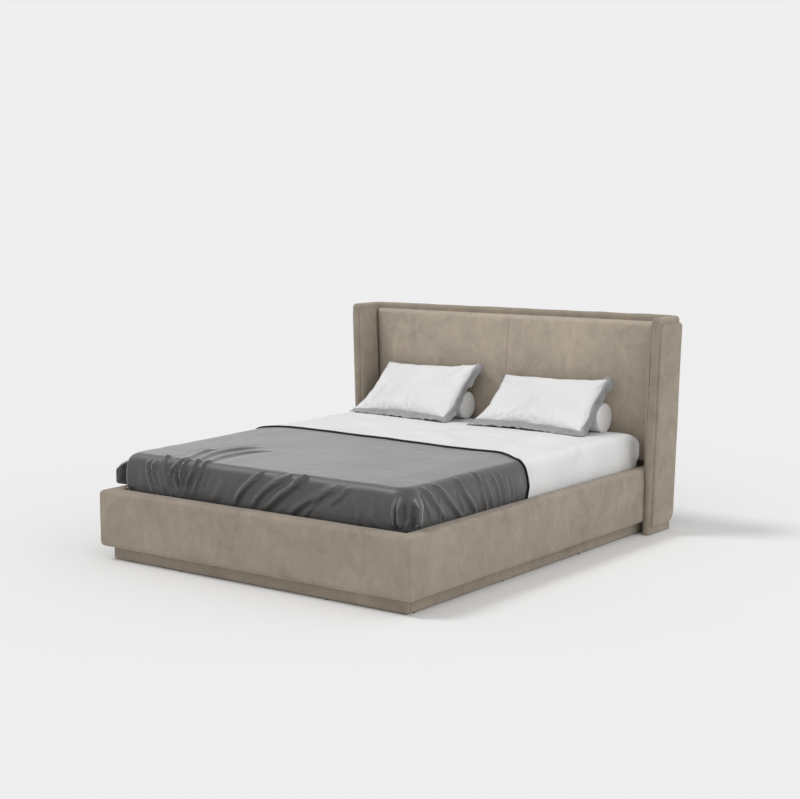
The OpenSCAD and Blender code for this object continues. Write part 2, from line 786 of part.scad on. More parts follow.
// Sheet drawn over the mattress and tucked down its sides. Its facets follow those of the mattress
sheet_hem = deck_z + mattress_r + 2;
sheet_stations = concat([[0, sheet_hem, 1, 0]], edge_stations(8));
corner_n = 8;
sheet_mid = (mattress_foot + mattress_head) / 2;
sheet_path = [for (c = [0:3], k = [0:corner_n]) let (sx = c == 0 || c == 3 ? 1 : -1, sy = c < 2 ? 1 : -1)
    on_arc([sx * (half_w - plan_r), sheet_mid + sy * (mattress_l / 2 + sheet_t - plan_r)], 90 * (c + k / corner_n))];
module sheet() {
    n = len(sheet_path);
    function skin(d) = [for (s = sheet_stations, p = sheet_path) on_ring(s, p, d)];
    sides = [for (r = [0:len(sheet_stations) - 2], k = [0:n - 1]) let (a = r * n + k, b = r * n + (k + 1) % n)
        each halves(a, a + n, b + n, b)];
    top = [for (k = [n - 1:-1:0]) (len(sheet_stations) - 1) * n + k];
    color("white") skin_solid(skin(0), skin(seat / 2 - sheet_t), concat(sides, [top]), [for (k = [0:n - 1]) k]);
}

// Blanket tucked in at the foot and the sides. Its rings run from the head end down the left side, across the foot
// and up the right side, and its top is rows of points between the two sides
blanket_head = mattress_head - bare_l;
blanket_hem = sheet_hem - 8;
blanket_stations = concat([for (z = [blanket_hem, rail_top - 6, (rail_top + sheet_top - edge_r) / 2 + 6])
    [0, z, 1, 0]], edge_stations(4));
bands = len(blanket_stations) - 1;
side_n = 8;
bend_n = 4;
foot_n = 16;
rows = side_n + bend_n;
path_n = 2 * rows + foot_n + 1;
foot_x = half_w - plan_r;
function left_path(k) = k < side_n
    ? [[-half_w, blanket_head + (end_y + plan_r - blanket_head) * k / side_n], [-1, 0]]
    : on_arc([-foot_x, end_y + plan_r], 180 + 90 * (k - side_n) / bend_n);
function flip(p) = [[-p[0][0], p[0][1]], [-p[1][0], p[1][1]]];
blanket_path = concat([for (k = [0:rows]) left_path(k)],
    [for (k = [1:foot_n - 1]) [[-foot_x + 2 * foot_x * k / foot_n, end_y], [0, -1]]],
    [for (k = [rows:-1:0]) flip(left_path(k))]);
// Folds swell outwards where the sides are open above the rail, and run on over the top as low ridges
function open_part(z) = max(0, sin(180 * min(1, max(0, (z - rail_top) / (sheet_top - rail_top)))));
function swell(k, r) = 0.5 + 0.5 * sin(k * 157 + r * 35);
function ridge(i, m) = 0.25 * fold_d * swell(m + 0.5 * i, i) * min(1, (rows - i) / 2);
// Facets cut across the round edges and corners, so the inner skin keeps more clear there
function inner_gap(r, k) = 2 * seat + (r > 2 ? 1 : 0) + (k > side_n - 1 && k < path_n - side_n ? 1.8 : 0);
function blanket_skin(out) = concat(
    [for (r = [0:bands - 1], k = [0:path_n - 1]) on_ring(blanket_stations[r], blanket_path[k],
        out ? blanket_t + fold_d * swell(k, r) * open_part(blanket_stations[r][1]) : inner_gap(r, k))],
    [for (i = [0:rows], m = [0:foot_n]) let (k = i == rows ? rows + m : i,
        p = on_ring(blanket_stations[bands], blanket_path[k], 0))
        [i == rows ? p[0] : p[0] * (1 - 2 * m / foot_n), p[1],
            sheet_top + (out ? blanket_t + ridge(i, m) : 2 * seat)]]);
module blanket() {
    function on_top(i, m) = bands * path_n + i * (foot_n + 1) + m;
    function at(r, k) = r < bands ? r * path_n + k : k <= rows ? on_top(k, 0)
        : k <= rows + foot_n ? on_top(rows, k - rows) : on_top(path_n - 1 - k, foot_n);
    sides = [for (r = [0:bands - 1], k = [0:path_n - 2])
        each halves(at(r, k), at(r + 1, k), at(r + 1, k + 1), at(r, k + 1))];
    top = [for (i = [0:rows - 1], m = [0:foot_n - 1])
        each halves(on_top(i, m), on_top(i, m + 1), on_top(i + 1, m + 1), on_top(i + 1, m))];
    edge = concat([for (k = [0:path_n - 1]) at(0, k)], [for (r = [1:bands]) at(r, path_n - 1)],
        [for (m = [foot_n - 1:-1:0]) on_top(0, m)], [for (r = [bands - 1:-1:1]) at(r, 0)]);
    color("dimgray") skin_solid(blanket_skin(true), blanket_skin(false), concat(sides, top), edge);
}

// The bolsters stand just clear of the back pad, and the pillows lie on the sheet and against the bolsters.
// A pillow's own frame has its low edge along X and its slope along Y
pillow_x = [-479, 300];
pillow_lift = seat + seam_t / 2 * cos(pillow_tilt);
bolster_clear = 5;
bolster_y = pad_back - back_pad_t - back_crown - bolster_clear - bolster_r;
bolster_end = [-180, 628];
function pillow_half(y) = (seam_t + (pillow_t - seam_t) * plump(0, (y - flange_w) * 2 / pillow_l - 1)) / 2;
// Depth of the bolster's axis under the pillow's seam plane, where the bolster touches it, by its place y on the slope
function touch(y) = max([for (k = [0:60]) let (d = (k / 30 - 1) * bolster_r)
    y + d > flange_w && y + d < flange_w + pillow_l ? pillow_half(y + d) + sqrt(pow(bolster_r, 2) - d * d) : 0]) + seat;
function settle(y, n) = n == 0 ? y
    : settle((y + (bolster_r + seat - pillow_lift + touch(y) * cos(pillow_tilt)) / sin(pillow_tilt)) / 2, n - 1);
bolster_on = settle(pillow_l, 14);
pillow_y = bolster_y - bolster_on * cos(pillow_tilt) - touch(bolster_on) * sin(pillow_tilt);

module pillow_place(k) {
    translate([pillow_x[k], pillow_y, sheet_top + pillow_lift]) rotate([pillow_tilt, 0, 0]) children();
}

// Outline of a pillow: corners stand out and sides are drawn in
pillow_n = 15;
pillow_m = 13;
draw_in = 0.045;
function pillow_xy(u, v) = [
    pillow_w / 2 * u * (1 - draw_in * (1 - v * v)),
    flange_w + pillow_l / 2 + pillow_l / 2 * v * (1 - 1.4 * draw_in * (1 - u * u))];
function plump(u, v) = pow(max(0, 1 - u * u), 0.42) * pow(max(0, 1 - v * v), 0.42);
function even(n, i) = sin(90 * (2 * i / (n - 1) - 1));

module pillow(k) {
    function skin(up) = [for (i = [0:pillow_n - 1]) [for (j = [0:pillow_m - 1])
        let (u = even(pillow_n, i), v = even(pillow_m, j), p = pillow_xy(u, v))
        [p[0], p[1], up * (seam_t / 2 + (pillow_t - seam_t) / 2 * plump(u, v))]]];
    pillow_place(k) grid_solid(skin(-1), skin(1));
}

// Flat flange sewn on round the seam
module pillow_flange(k) {
    steps_u = [for (i = [0:pillow_n - 1]) even(pillow_n, i)];
    steps_v = [for (j = [1:pillow_m - 2]) even(pillow_m, j)];
    inner = concat([for (u = steps_u) pillow_xy(u, -1)], [for (v = steps_v) pillow_xy(1, v)],
        [for (i = [pillow_n - 1:-1:0]) pillow_xy(steps_u[i], 1)],
        [for (j = [pillow_m - 3:-1:0]) pillow_xy(-1, steps_v[j])]);
    c = [0, flange_w + pillow_l / 2];
    outer_scale = [(pillow_w / 2 + flange_w) / (pillow_w / 2), (pillow_l / 2 + flange_w) / (pillow_l / 2)];
    outer = [for (p = inner) [(p[0] - c[0]) * outer_scale[0] + c[0], (p[1] - c[1]) * outer_scale[1] + c[1]]];
    inner_scale = 1 + 2 * seat / pillow_l;
    hole = [for (p = inner) (p - c) * inner_scale + c];
    pillow_place(k) translate([0, 0, -seam_t / 2]) linear_extrude(seam_t) difference() {
        polygon(outer);
        polygon(hole);
    }
}

// Bolster with soft round ends
module bolster(k) {
    r = 16;
    translate([bolster_end[k], bolster_y, sheet_top + bolster_r + seat]) rotate([0, -90, 0]) rotate_extrude($fn = 64)
        intersection() {
            translate([-bolster_r, 0]) round_rect(2 * bolster_r, bolster_l, r);
            square([bolster_r, bolster_l]);
        }
}

color("burlywood") on_side(-1) rail_board();  // rail_board_left
color("burlywood") rail_board();  // rail_board_right
rail_board_foot();
head_cross_board();
color("tan") on_side(-1) rail_cover();  // rail_cover_left
color("tan") rail_cover();  // rail_cover_right
rail_cover_foot();
corner_brackets();
rail_bolts();
color("rosybrown") on_side(-1) plinth_side();  // plinth_left
color("rosybrown") plinth_side();  // plinth_right
plinth_foot();
plinth_head();
glides();
floor_joist();
color("wheat") on_side(-1) floor_panel();  // floor_panel_left
color("wheat") floor_panel();  // floor_panel_right
ledge_battens();
rest_bumpers();
color("burlywood") on_side(-1) wing_core();  // wing_core_left
color("burlywood") wing_core();  // wing_core_right
color("tan") on_side(-1) wing_shell();  // wing_shell_left
color("tan") wing_shell();  // wing_shell_right
wing_packers();
headboard_core();
headboard_shell();
headboard_pad();
color("tan") on_side(-1) wing_inner_pad();  // wing_inner_pad_left
color("tan") wing_inner_pad();  // wing_inner_pad_right
color("tan") on_side(-1) wing_side_pad();  // wing_side_pad_left
color("tan") wing_side_pad();  // wing_side_pad_right
back_panel();
color("slategray") on_side(-1) lift_plate();  // lift_plate_left
color("slategray") lift_plate();  // lift_plate_right
color("steelblue") on_side(-1) crank();  // crank_left
color("steelblue") crank();  // crank_right
color("cadetblue") on_side(-1) rocker();  // rocker_left
color("cadetblue") rocker();  // rocker_right
strut_cylinders();
strut_rods();
color("slategray") on_side(-1) lift_bracket();  // lift_bracket_left
color("slategray") lift_bracket();  // lift_bracket_right
color("gray") on_side(-1) frame_side();  // frame_tube_left
color("gray") frame_side();  // frame_tube_right
color("gray") frame_cross(frame_foot);  // frame_tube_foot
color("gray") frame_cross(frame_head - tube);  // frame_tube_head
frame_tube_centre();
color("bisque") on_side(-1) slats();  // slats_left
color("bisque") slats();  // slats_right
slat_holders();
mattress();
sheet();
blanket();
color("white") pillow(0);  // pillow_left
color("white") pillow(1);  // pillow_right
color("dimgray") pillow_flange(0);  // pillow_flange_left
color("dimgray") pillow_flange(1);  // pillow_flange_right
color("white") bolster(0);  // bolster_left
color("white") bolster(1);  // bolster_right
pull_strap();
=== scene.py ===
# %% [markdown]
# # An upholstered double bed with a winged headboard
# The frame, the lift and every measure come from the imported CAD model. This script dresses it: velvet
# covers, bedding, and a finish for each carried-over part. Lengths are in metres, X to the right seen from
# the foot, Y towards the head and Z up.

import json
import math

import bmesh
import bpy
import numpy as np
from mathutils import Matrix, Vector, noise


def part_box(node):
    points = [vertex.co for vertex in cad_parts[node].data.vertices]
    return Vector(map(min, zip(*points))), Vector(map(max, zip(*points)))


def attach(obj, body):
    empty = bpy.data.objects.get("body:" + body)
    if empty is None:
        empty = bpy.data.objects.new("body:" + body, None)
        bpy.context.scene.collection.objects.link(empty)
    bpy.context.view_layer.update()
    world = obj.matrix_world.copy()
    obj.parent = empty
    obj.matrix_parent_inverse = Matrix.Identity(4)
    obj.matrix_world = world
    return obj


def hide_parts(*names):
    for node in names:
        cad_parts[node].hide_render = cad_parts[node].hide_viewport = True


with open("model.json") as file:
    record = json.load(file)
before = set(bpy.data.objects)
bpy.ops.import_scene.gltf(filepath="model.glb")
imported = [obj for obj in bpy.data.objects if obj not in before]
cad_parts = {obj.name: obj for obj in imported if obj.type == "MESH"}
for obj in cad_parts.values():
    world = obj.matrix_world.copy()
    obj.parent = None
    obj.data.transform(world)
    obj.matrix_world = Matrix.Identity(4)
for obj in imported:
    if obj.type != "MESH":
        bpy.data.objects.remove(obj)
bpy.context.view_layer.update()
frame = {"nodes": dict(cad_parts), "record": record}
nodes = frame["nodes"]

# %% [markdown]
# ## Camera
# The photograph was fitted with a long lens that stands in front of the bed's right foot corner and looks
# slightly down. A camera looks along its own -Z, so it is turned until that axis points where the lens looked.

# %% Camera
AZIMUTH, ELEVATION, LENS, FILM = 36.45, 7.16, 69.75, 36
LENS_PLACE = (4.4306, -5.9704, 1.6381)


def aim(way):
    """Turns the object that was added last until its own -Z axis points that way."""
    last = bpy.context.object
    last.rotation_mode = "QUATERNION"
    last.rotation_quaternion = way.to_track_quat("-Z", "Y")
    return last


about, tilt = math.radians(AZIMUTH), math.radians(ELEVATION)
look_back = Vector((math.sin(about) * math.cos(tilt), -math.cos(about) * math.cos(tilt), math.sin(tilt)))
bpy.ops.object.camera_add(location=LENS_PLACE)
camera = aim(-look_back)
camera.data.lens = LENS
camera.data.sensor_width = FILM
bpy.context.scene.camera = camera
print("camera at", [round(v, 3) for v in camera.location], "lens", LENS)

# %% [markdown]
# ## Light and background
# A soft key light comes from the left of the picture and in front, high up, and a pale sky fills the rest. A
# sun lamp with a wide angle gives an even light with a soft shadow anywhere on the floor.

# %% Light
KEY, KEY_WAY, KEY_WIDTH = 1.04, (0.42, 0.30, -0.86), 16
bpy.ops.object.light_add(type="SUN")
key_light = aim(Vector(KEY_WAY))
key_light.name = "key_light"
key_light.data.energy = KEY
key_light.data.angle = math.radians(KEY_WIDTH)
print("key light travels", KEY_WAY)

# %% [markdown]
# The world shows the camera and the glossy surfaces a pale backdrop, while the light that it sheds is stronger
# from the right, as from a large white wall there. A world is a network of nodes, as every finish will be. One
# helper adds a node: its settings are set first, and each input gets a value or a link from another node.

# %% World
BACKDROP, SKY, SKY_RIGHT = 0.863, 0.52, 0.78
WALL_WAY = (0.97, -0.16, 0.18)


def node(owner, kind, inputs=(), **settings):
    tree = owner.node_tree
    new = tree.nodes.new("ShaderNode" + kind)
    for key, value in settings.items():
        setattr(new, key, value)
    for key, value in dict(inputs).items():
        if isinstance(value, bpy.types.NodeSocket):
            tree.links.new(value, new.inputs[key])
        else:
            new.inputs[key].default_value = value
    return new


world = bpy.context.scene.world or bpy.data.worlds.new("studio")
bpy.context.scene.world = world
world.use_nodes = True
world.node_tree.nodes.clear()
rays = node(world, "LightPath").outputs
seen = node(world, "Math", {0: rays["Is Camera Ray"], 1: rays["Is Glossy Ray"]}, operation="MAXIMUM")
seen = node(world, "Math", {0: seen.outputs[0], 1: rays["Is Transmission Ray"]}, operation="MAXIMUM")
place = node(world, "TexCoord").outputs["Generated"]
toward = node(world, "VectorMath", {0: place, 1: WALL_WAY}, operation="DOT_PRODUCT").outputs["Value"]
strength = node(world, "MapRange", {"Value": toward, "To Min": SKY, "To Max": SKY + SKY_RIGHT}).outputs["Result"]
sky = node(world, "Background", {"Color": (1, 1, 1, 1), "Strength": strength})
backdrop = node(world, "Background", {"Color": (BACKDROP, BACKDROP, BACKDROP, 1), "Strength": 1})
which = node(world, "MixShader", {0: seen.outputs[0], 1: sky.outputs[0], 2: backdrop.outputs[0]})
node(world, "OutputWorld", {0: which.outputs[0]})
bpy.context.scene.view_settings.view_transform = "Standard"
print("world nodes:", len(world.node_tree.nodes))

# %% [markdown]
# ## Helpers for modelling by hand in code
# With a mouse, a piece is clicked before it is worked on. In code, everything is deselected first, because
# the imported frame is still selected, and then one piece is made active. What is to be changed is picked by a
# rule: on the middle and the normal of a face, or on the two ends of an edge.

# %% Select
def object_mode():
    bpy.ops.object.mode_set(mode="OBJECT")


def bare():
    if bpy.context.mode != "OBJECT":
        object_mode()
    bpy.ops.object.select_all(action="DESELECT")


def only(piece):
    bare()
    piece.select_set(True)
    bpy.context.view_layer.objects.active = piece


def edit_all(piece):
    only(piece)
    bpy.ops.object.mode_set(mode="EDIT")
    bpy.ops.mesh.select_all(action="SELECT")


def pick(piece, kind, rule):
    edit_all(piece)
    bpy.ops.mesh.select_mode(type=kind)
    bpy.ops.mesh.select_all(action="DESELECT")
    mesh = bmesh.from_edit_mesh(piece.data)
    if kind == "FACE":
        chosen = [f for f in mesh.faces if rule(f.calc_center_median(), f.normal)]
    else:
        chosen = [e for e in mesh.edges if rule(*(v.co for v in e.verts))]
    for item in chosen:
        item.select_set(True)
    mesh.select_flush_mode()
    bmesh.update_edit_mesh(piece.data)


def pick_border(piece):
    edit_all(piece)
    bpy.ops.mesh.select_mode(type="EDGE")
    bpy.ops.mesh.select_all(action="SELECT")
    bpy.ops.mesh.region_to_loop()


def named(name):
    """The object that was added last, under a name of its own."""
    bpy.context.object.name = name
    return bpy.context.object


print("helpers that select are ready")

# %% [markdown]
# Most pieces start as a block, a grid or a tube. Their edges are rounded by a bevel, they are sliced so that a
# soft cover has points to move, and a modifier gives thickness or makes the mesh finer.

# %% Shape
def block(name, low, high):
    bare()
    bpy.ops.mesh.primitive_cube_add(size=1, location=(Vector(low) + Vector(high)) / 2)
    piece = named(name)
    piece.scale = Vector(high) - Vector(low)
    apply_place(piece)
    return piece


def grid(name, columns, rows):
    """A flat grid, with the column and the row that each of its points is in."""
    bare()
    bpy.ops.mesh.primitive_grid_add(x_subdivisions=columns, y_subdivisions=rows, size=1)
    piece = named(name)
    column, row = np.rint((points(piece)[:, :2] + 0.5) * (columns, rows)).astype(int).T
    return piece, column, row


def apply_place(piece):
    only(piece)
    bpy.ops.object.transform_apply(location=True, rotation=True, scale=True)


def round_edges(piece, rule, radius, segments):
    pick(piece, "EDGE", rule)
    bpy.ops.mesh.bevel(offset=radius, segments=segments, affect="EDGES")
    object_mode()


def slices(piece, axis, places):
    edit_all(piece)
    normal = Vector((axis == "X", axis == "Y", axis == "Z"))
    for place in places:
        bpy.ops.mesh.select_all(action="SELECT")
        bpy.ops.mesh.bisect(plane_co=normal * place, plane_no=normal)
    object_mode()


def cut_flat(piece, at, normal):
    """Takes away what lies behind a plane and closes the cut with a face."""
    edit_all(piece)
    bpy.ops.mesh.bisect(plane_co=at, plane_no=normal, clear_inner=True, use_fill=True)
    object_mode()


def outwards(piece):
    edit_all(piece)
    bpy.ops.mesh.normals_make_consistent(inside=False)
    object_mode()


def modify(piece, kind, **settings):
    only(piece)
    modifier = piece.modifiers.new(kind.lower(), kind)
    for key, value in settings.items():
        setattr(modifier, key, value)
    bpy.ops.object.modifier_apply(modifier=modifier.name)


def thicken(piece, thickness, offset=0):
    modify(piece, "SOLIDIFY", thickness=thickness, offset=offset)


def soften(piece, angle):
    only(piece)
    bpy.ops.object.shade_smooth_by_angle(angle=math.radians(angle))


print("helpers that shape are ready")

# %% [markdown]
# A piece with thousands of points is shaped as a whole. Its points are read into an array, moved by a rule and
# put back. Noise with a fixed seed gives foam and cloth their small unevenness, the same in each run.

# %% Points of a mesh as an array
def read(items, key):
    values = np.empty(len(items) * 3)
    items.foreach_get(key, values)
    return values.reshape(-1, 3)


def points(piece):
    return read(piece.data.vertices, "co")


def normals(piece):
    return read(piece.data.vertex_normals, "vector")


def put(piece, co):
    piece.data.vertices.foreach_set("co", np.asarray(co, float).ravel())
    piece.data.update()


def note(piece, key, values):
    """Writes a vector on each point. It stays with the point when the mesh is extruded or made finer."""
    layer = piece.data.attributes.new(key, "FLOAT_VECTOR", "POINT")
    layer.data.foreach_set("vector", values.ravel())


def noted(piece, key):
    return read(piece.data.attributes[key].data, "vector")


def waves(co, size, seed):
    shift = Vector((seed * 7.31, seed * 3.17, seed * 5.53))
    return np.array([noise.noise(Vector(p) / size + shift) for p in co])


def ripple(piece, height, size, seed):
    co = points(piece)
    put(piece, co + normals(piece) * (waves(co, size, seed) * height)[:, None])


def smooth(t):
    t = np.clip(t, 0, 1)
    return t * t * (3 - 2 * t)


def bell(x, middle, width):
    return np.exp(-((x - middle) / width) ** 2)


def spaced(low, high, step):
    count = max(1, round((high - low) / step))
    return [low + (high - low) * i / count for i in range(1, count)]


print("helpers for points are ready")

# %% [markdown]
# ## Finishes
# Each finish is a small network of noise textures on Object coordinates, so that it keeps its scale on every
# piece. The helper that made the world's nodes makes these too, and each finish says only what is its own.

# %% A material and its nodes
def finish(name, **settings):
    material = bpy.data.materials.new(name)
    material.use_nodes = True
    shader = material.node_tree.nodes["Principled BSDF"]
    for key, value in settings.items():
        socket = shader.inputs[key.replace("_", " ")]
        socket.default_value = (*value, 1) if isinstance(value, tuple) else value
    return material, shader


def link(material, source, target):
    material.node_tree.links.new(source, target)


def coords(material, stretch=(1, 1, 1), source="Object"):
    where = node(material, "TexCoord")
    return node(material, "Mapping", {"Vector": where.outputs[source], "Scale": stretch}).outputs["Vector"]


def cloudy(material, where, scale, detail, roughness=0.5, distortion=0.0):
    return node(material, "TexNoise", {"Vector": where, "Scale": scale, "Detail": detail, "Roughness": roughness,
                                       "Distortion": distortion}).outputs


def tint(colour, factor):
    return tuple(min(1, c * factor) for c in colour)


def shades(colour, *steps):
    """Stops of a ramp: one colour, darker or lighter at each place."""
    return [(place, tint(colour, factor)) for place, factor in steps]


def ramp(material, value, stops):
    new = node(material, "ValToRGB", {"Fac": value})
    new.color_ramp.elements[0].position, new.color_ramp.elements[1].position = stops[0][0], stops[-1][0]
    new.color_ramp.elements[0].color = (*stops[0][1], 1)
    new.color_ramp.elements[1].color = (*stops[-1][1], 1)
    for place, colour in stops[1:-1]:
        new.color_ramp.elements.new(place).color = (*colour, 1)
    return new.outputs["Color"]


def vary(material, shader, socket, value, low, high):
    """Lets a socket of the shader run from low to high with a value from 0 to 1."""
    new = node(material, "MapRange", {"Value": value, "To Min": low, "To Max": high})
    link(material, new.outputs["Result"], shader.inputs[socket])


def bump(material, shader, height, distance, strength, **under):
    new = node(material, "Bump", {"Height": height, "Distance": distance, "Strength": strength, **under})
    link(material, new.outputs["Normal"], shader.inputs["Normal"])


print("material helpers are ready")

# %% [markdown]
# ### Velvet
# The covers are a short pile velvet. Its look is the pile: where a hand has stroked it, it lies another way
# and turns lighter or darker, in smudges the size of a palm. Two noises make these smudges, one broad and one
# of streaks, a fine one makes the grain of the pile, and sheen gives the pale rim at grazing angles. The large
# pad of the headboard gets a paler copy of this velvet: painted light, standing in for the stronger light on it.

# %% Velvet
VELVET = (0.300, 0.256, 0.204)
# The pad's tone is the same velvet made paler: painted light for the stronger light that falls on the pad.
PAD_VELVET_PAINTED_LIGHT = (0.425, 0.362, 0.292)


def make_velvet(name, pile_tone):
    material, shader = finish(name, Roughness=0.92, Sheen_Weight=0.35, Sheen_Roughness=0.45,
                              Sheen_Tint=(1.0, 0.93, 0.84), Specular_IOR_Level=0.15)
    where = coords(material)
    smudge = cloudy(material, where, 5.5, 8.0, 0.66, 0.7)["Fac"]
    streak = cloudy(material, coords(material, (3.4, 3.4, 2.4)), 2.1, 3.0, 0.6, 2.4)["Fac"]
    both = node(material, "Mix", {0: 0.42, 2: smudge, 3: streak}, data_type="FLOAT")
    tone = ramp(material, both.outputs[0],
                shades(pile_tone, (0.36, 0.84), (0.47, 0.98), (0.53, 1.03), (0.64, 1.17)))
    pile = cloudy(material, where, 900.0, 2.0)
    grain = node(material, "Mix", {0: 0.16, 6: tone, 7: pile["Color"]}, data_type="RGBA", blend_type="OVERLAY")
    link(material, grain.outputs[2], shader.inputs["Base Color"])
    bump(material, shader, pile["Fac"], 0.0006, 0.35)
    return material


velvet = make_velvet("velvet", VELVET)
pad_velvet_painted_light = make_velvet("velvet_pad_painted_light", PAD_VELVET_PAINTED_LIGHT)
print("velvet nodes:", len(velvet.node_tree.nodes))

# %% [markdown]
# ### Bedding
# The sheet, the pillows and the bolsters are plain white cotton. Cotton is dull, with fibres that show only
# close up.

# %% Cotton
COTTON, COTTON_SHADE = (0.785, 0.785, 0.785), (0.735, 0.74, 0.745)
cotton, shader = finish("white_cotton", Roughness=0.85, Sheen_Weight=0.12, Sheen_Roughness=0.5,
                        Specular_IOR_Level=0.2)
where = coords(cotton)
cloud = cloudy(cotton, where, 6.0, 3.0)["Fac"]
link(cotton, ramp(cotton, cloud, [(0.35, COTTON_SHADE), (0.65, COTTON)]), shader.inputs["Base Color"])
crumple = cloudy(cotton, where, 38.0, 3.0, 0.6, 0.8)["Fac"]
crumpled = node(cotton, "Bump", {"Height": crumple, "Distance": 0.003, "Strength": 0.35})
fibre = cloudy(cotton, where, 1400.0, 1.0)["Fac"]
bump(cotton, shader, fibre, 0.0004, 0.25, Normal=crumpled.outputs["Normal"])
print("cotton nodes:", len(cotton.node_tree.nodes))

# %% [markdown]
# The bedspread is a dark grey satin weave that turns pale at a grazing angle, with faint bands across the bed
# and a black hem tape at its head edge. Where it hangs down on the right its grey is painted paler, as painted
# light on that side. All this follows the cloth, so it reads the piece's own UV map, which is its flat cut in
# metres.

# %% Bedspread cloth
HEAD_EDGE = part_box("blanket")[1].y - 0.0145
HEM_LINE = HEAD_EDGE - 0.018
# Between these X places the right side drop turns from the grey to a paler grey: painted light on that side.
PAINTED_LIGHT_FROM, PAINTED_LIGHT_TO = 0.785, 0.860
GREY, GREY_PAINTED_LIGHT, HEM_BLACK = (0.034, 0.033, 0.034), (0.066, 0.065, 0.066), (0.012, 0.012, 0.012)
bedspread, shader = finish("grey_blanket", Roughness=0.46, Sheen_Weight=1.0, Sheen_Roughness=0.32,
                           Specular_IOR_Level=0.95)
where = coords(bedspread, source="UV")
bands = node(bedspread, "TexWave", {"Vector": where, "Scale": 14.0, "Distortion": 2.2, "Detail": 2.0,
                                    "Detail Scale": 1.6}, bands_direction="Y")
cloud = cloudy(bedspread, where, 16.0, 4.0, 0.6)["Fac"]
both = node(bedspread, "Mix", {0: 0.5, 2: bands.outputs["Fac"], 3: cloud}, data_type="FLOAT").outputs[0]
tone = ramp(bedspread, both, shades(GREY, (0.3, 0.86), (0.7, 1.14)))
place = node(bedspread, "SeparateXYZ", {"Vector": where}).outputs
in_hem = node(bedspread, "Math", {0: place["Y"], 1: HEM_LINE}, operation="GREATER_THAN").outputs[0]
# Towards the right side drop the grey turns paler: painted light on that side.
painted_light_share = node(bedspread, "MapRange", {"Value": place["X"], "From Min": PAINTED_LIGHT_FROM, "From Max": PAINTED_LIGHT_TO})
with_painted_light = node(bedspread, "Mix", {0: painted_light_share.outputs["Result"], 6: tone, 7: (*GREY_PAINTED_LIGHT, 1)}, data_type="RGBA")
hemmed = node(bedspread, "Mix", {0: in_hem, 6: with_painted_light.outputs[2], 7: (*HEM_BLACK, 1)}, data_type="RGBA")
link(bedspread, hemmed.outputs[2], shader.inputs["Base Color"])
for socket, value, low, high in (("Roughness", both, 0.42, 0.54), ("Sheen Weight", in_hem, 1.0, 0.0),
                                 ("Specular IOR Level", in_hem, 0.95, 0.05)):
    vary(bedspread, shader, socket, value, low, high)
thread = cloudy(bedspread, coords(bedspread, (1, 0.16, 1), "UV"), 300.0, 3.0, 0.6)["Fac"]
bump(bedspread, shader, thread, 0.0012, 0.55)
print("bedspread nodes:", len(bedspread.node_tree.nodes))

# %% [markdown]
# ### Wood, steel and plastic of the hidden frame
# These show when the platform is lifted and from behind. Wood gets its growth rings from a noise stretched
# along the board. Powder coat has a fine orange peel, zinc a mottled bright grey, and moulded plastic and
# rubber a slight grain.

# %% Wood
def make_wood(name, light, dark, grain, ply=False):
    material, shader = finish(name, Roughness=0.55, Specular_IOR_Level=0.35)
    where = coords(material, grain)
    tone = ramp(material, cloudy(material, where, 9.0, 6.0, 0.6, 1.2)["Fac"], [(0.35, dark), (0.62, light)])
    if ply:
        layer = node(material, "TexWave", {"Vector": coords(material), "Scale": 105.0}, bands_direction="Z")
        glue = (*tint(light, 0.9), 1)
        tone = node(material, "Mix", {0: layer.outputs["Fac"], 6: tone, 7: glue}, data_type="RGBA").outputs[2]
    link(material, tone, shader.inputs["Base Color"])
    fibre = cloudy(material, where, 60.0, 3.0)["Fac"]
    vary(material, shader, "Roughness", fibre, 0.45, 0.7)
    bump(material, shader, fibre, 0.0006, 0.4)
    return material


timber = make_wood("timber", (0.52, 0.37, 0.21), (0.40, 0.26, 0.13), (8, 1, 8))
plywood = make_wood("plywood", (0.56, 0.43, 0.28), (0.46, 0.34, 0.21), (1, 7, 2), ply=True)
beech = make_wood("beech", (0.60, 0.43, 0.27), (0.50, 0.34, 0.20), (1, 12, 12))
print("woods:", timber.name, plywood.name, beech.name)

# %% Metal, plastic and rubber
def make_hard(name, colour, metallic, low, high, size, height):
    """low and high: the least and the greatest roughness. size and height: of the grain."""
    material, shader = finish(name, Metallic=metallic)
    where = coords(material)
    cloud = cloudy(material, where, size / 12, 3.0)["Fac"]
    link(material, ramp(material, cloud, shades(colour, (0.3, 0.88), (0.7, 1.1))), shader.inputs["Base Color"])
    grain = cloudy(material, where, size, 2.0)["Fac"]
    vary(material, shader, "Roughness", grain, low, high)
    bump(material, shader, grain, height, 0.3)
    return material


hard_finishes = {
    "painted_steel": ((0.035, 0.035, 0.038), 0.0, 0.38, 0.5, 900.0, 0.0003),
    "zinc_steel": ((0.55, 0.55, 0.57), 1.0, 0.28, 0.5, 260.0, 0.0002),
    "strut_black": ((0.012, 0.012, 0.013), 0.0, 0.15, 0.25, 500.0, 0.0001),
    "strut_rod": ((0.72, 0.72, 0.74), 1.0, 0.08, 0.16, 700.0, 0.0001),
    "plastic": ((0.018, 0.018, 0.02), 0.0, 0.45, 0.6, 1200.0, 0.0003),
    "rubber": ((0.02, 0.02, 0.02), 0.0, 0.8, 0.95, 800.0, 0.0004),
}
hard = {name: make_hard(name, *values) for name, values in hard_finishes.items()}
print("hard finishes:", sorted(hard))

# %% [markdown]
# Lining, ticking, the pillows' edges and the strap are plain weaves: two sets of fine waves that cross.

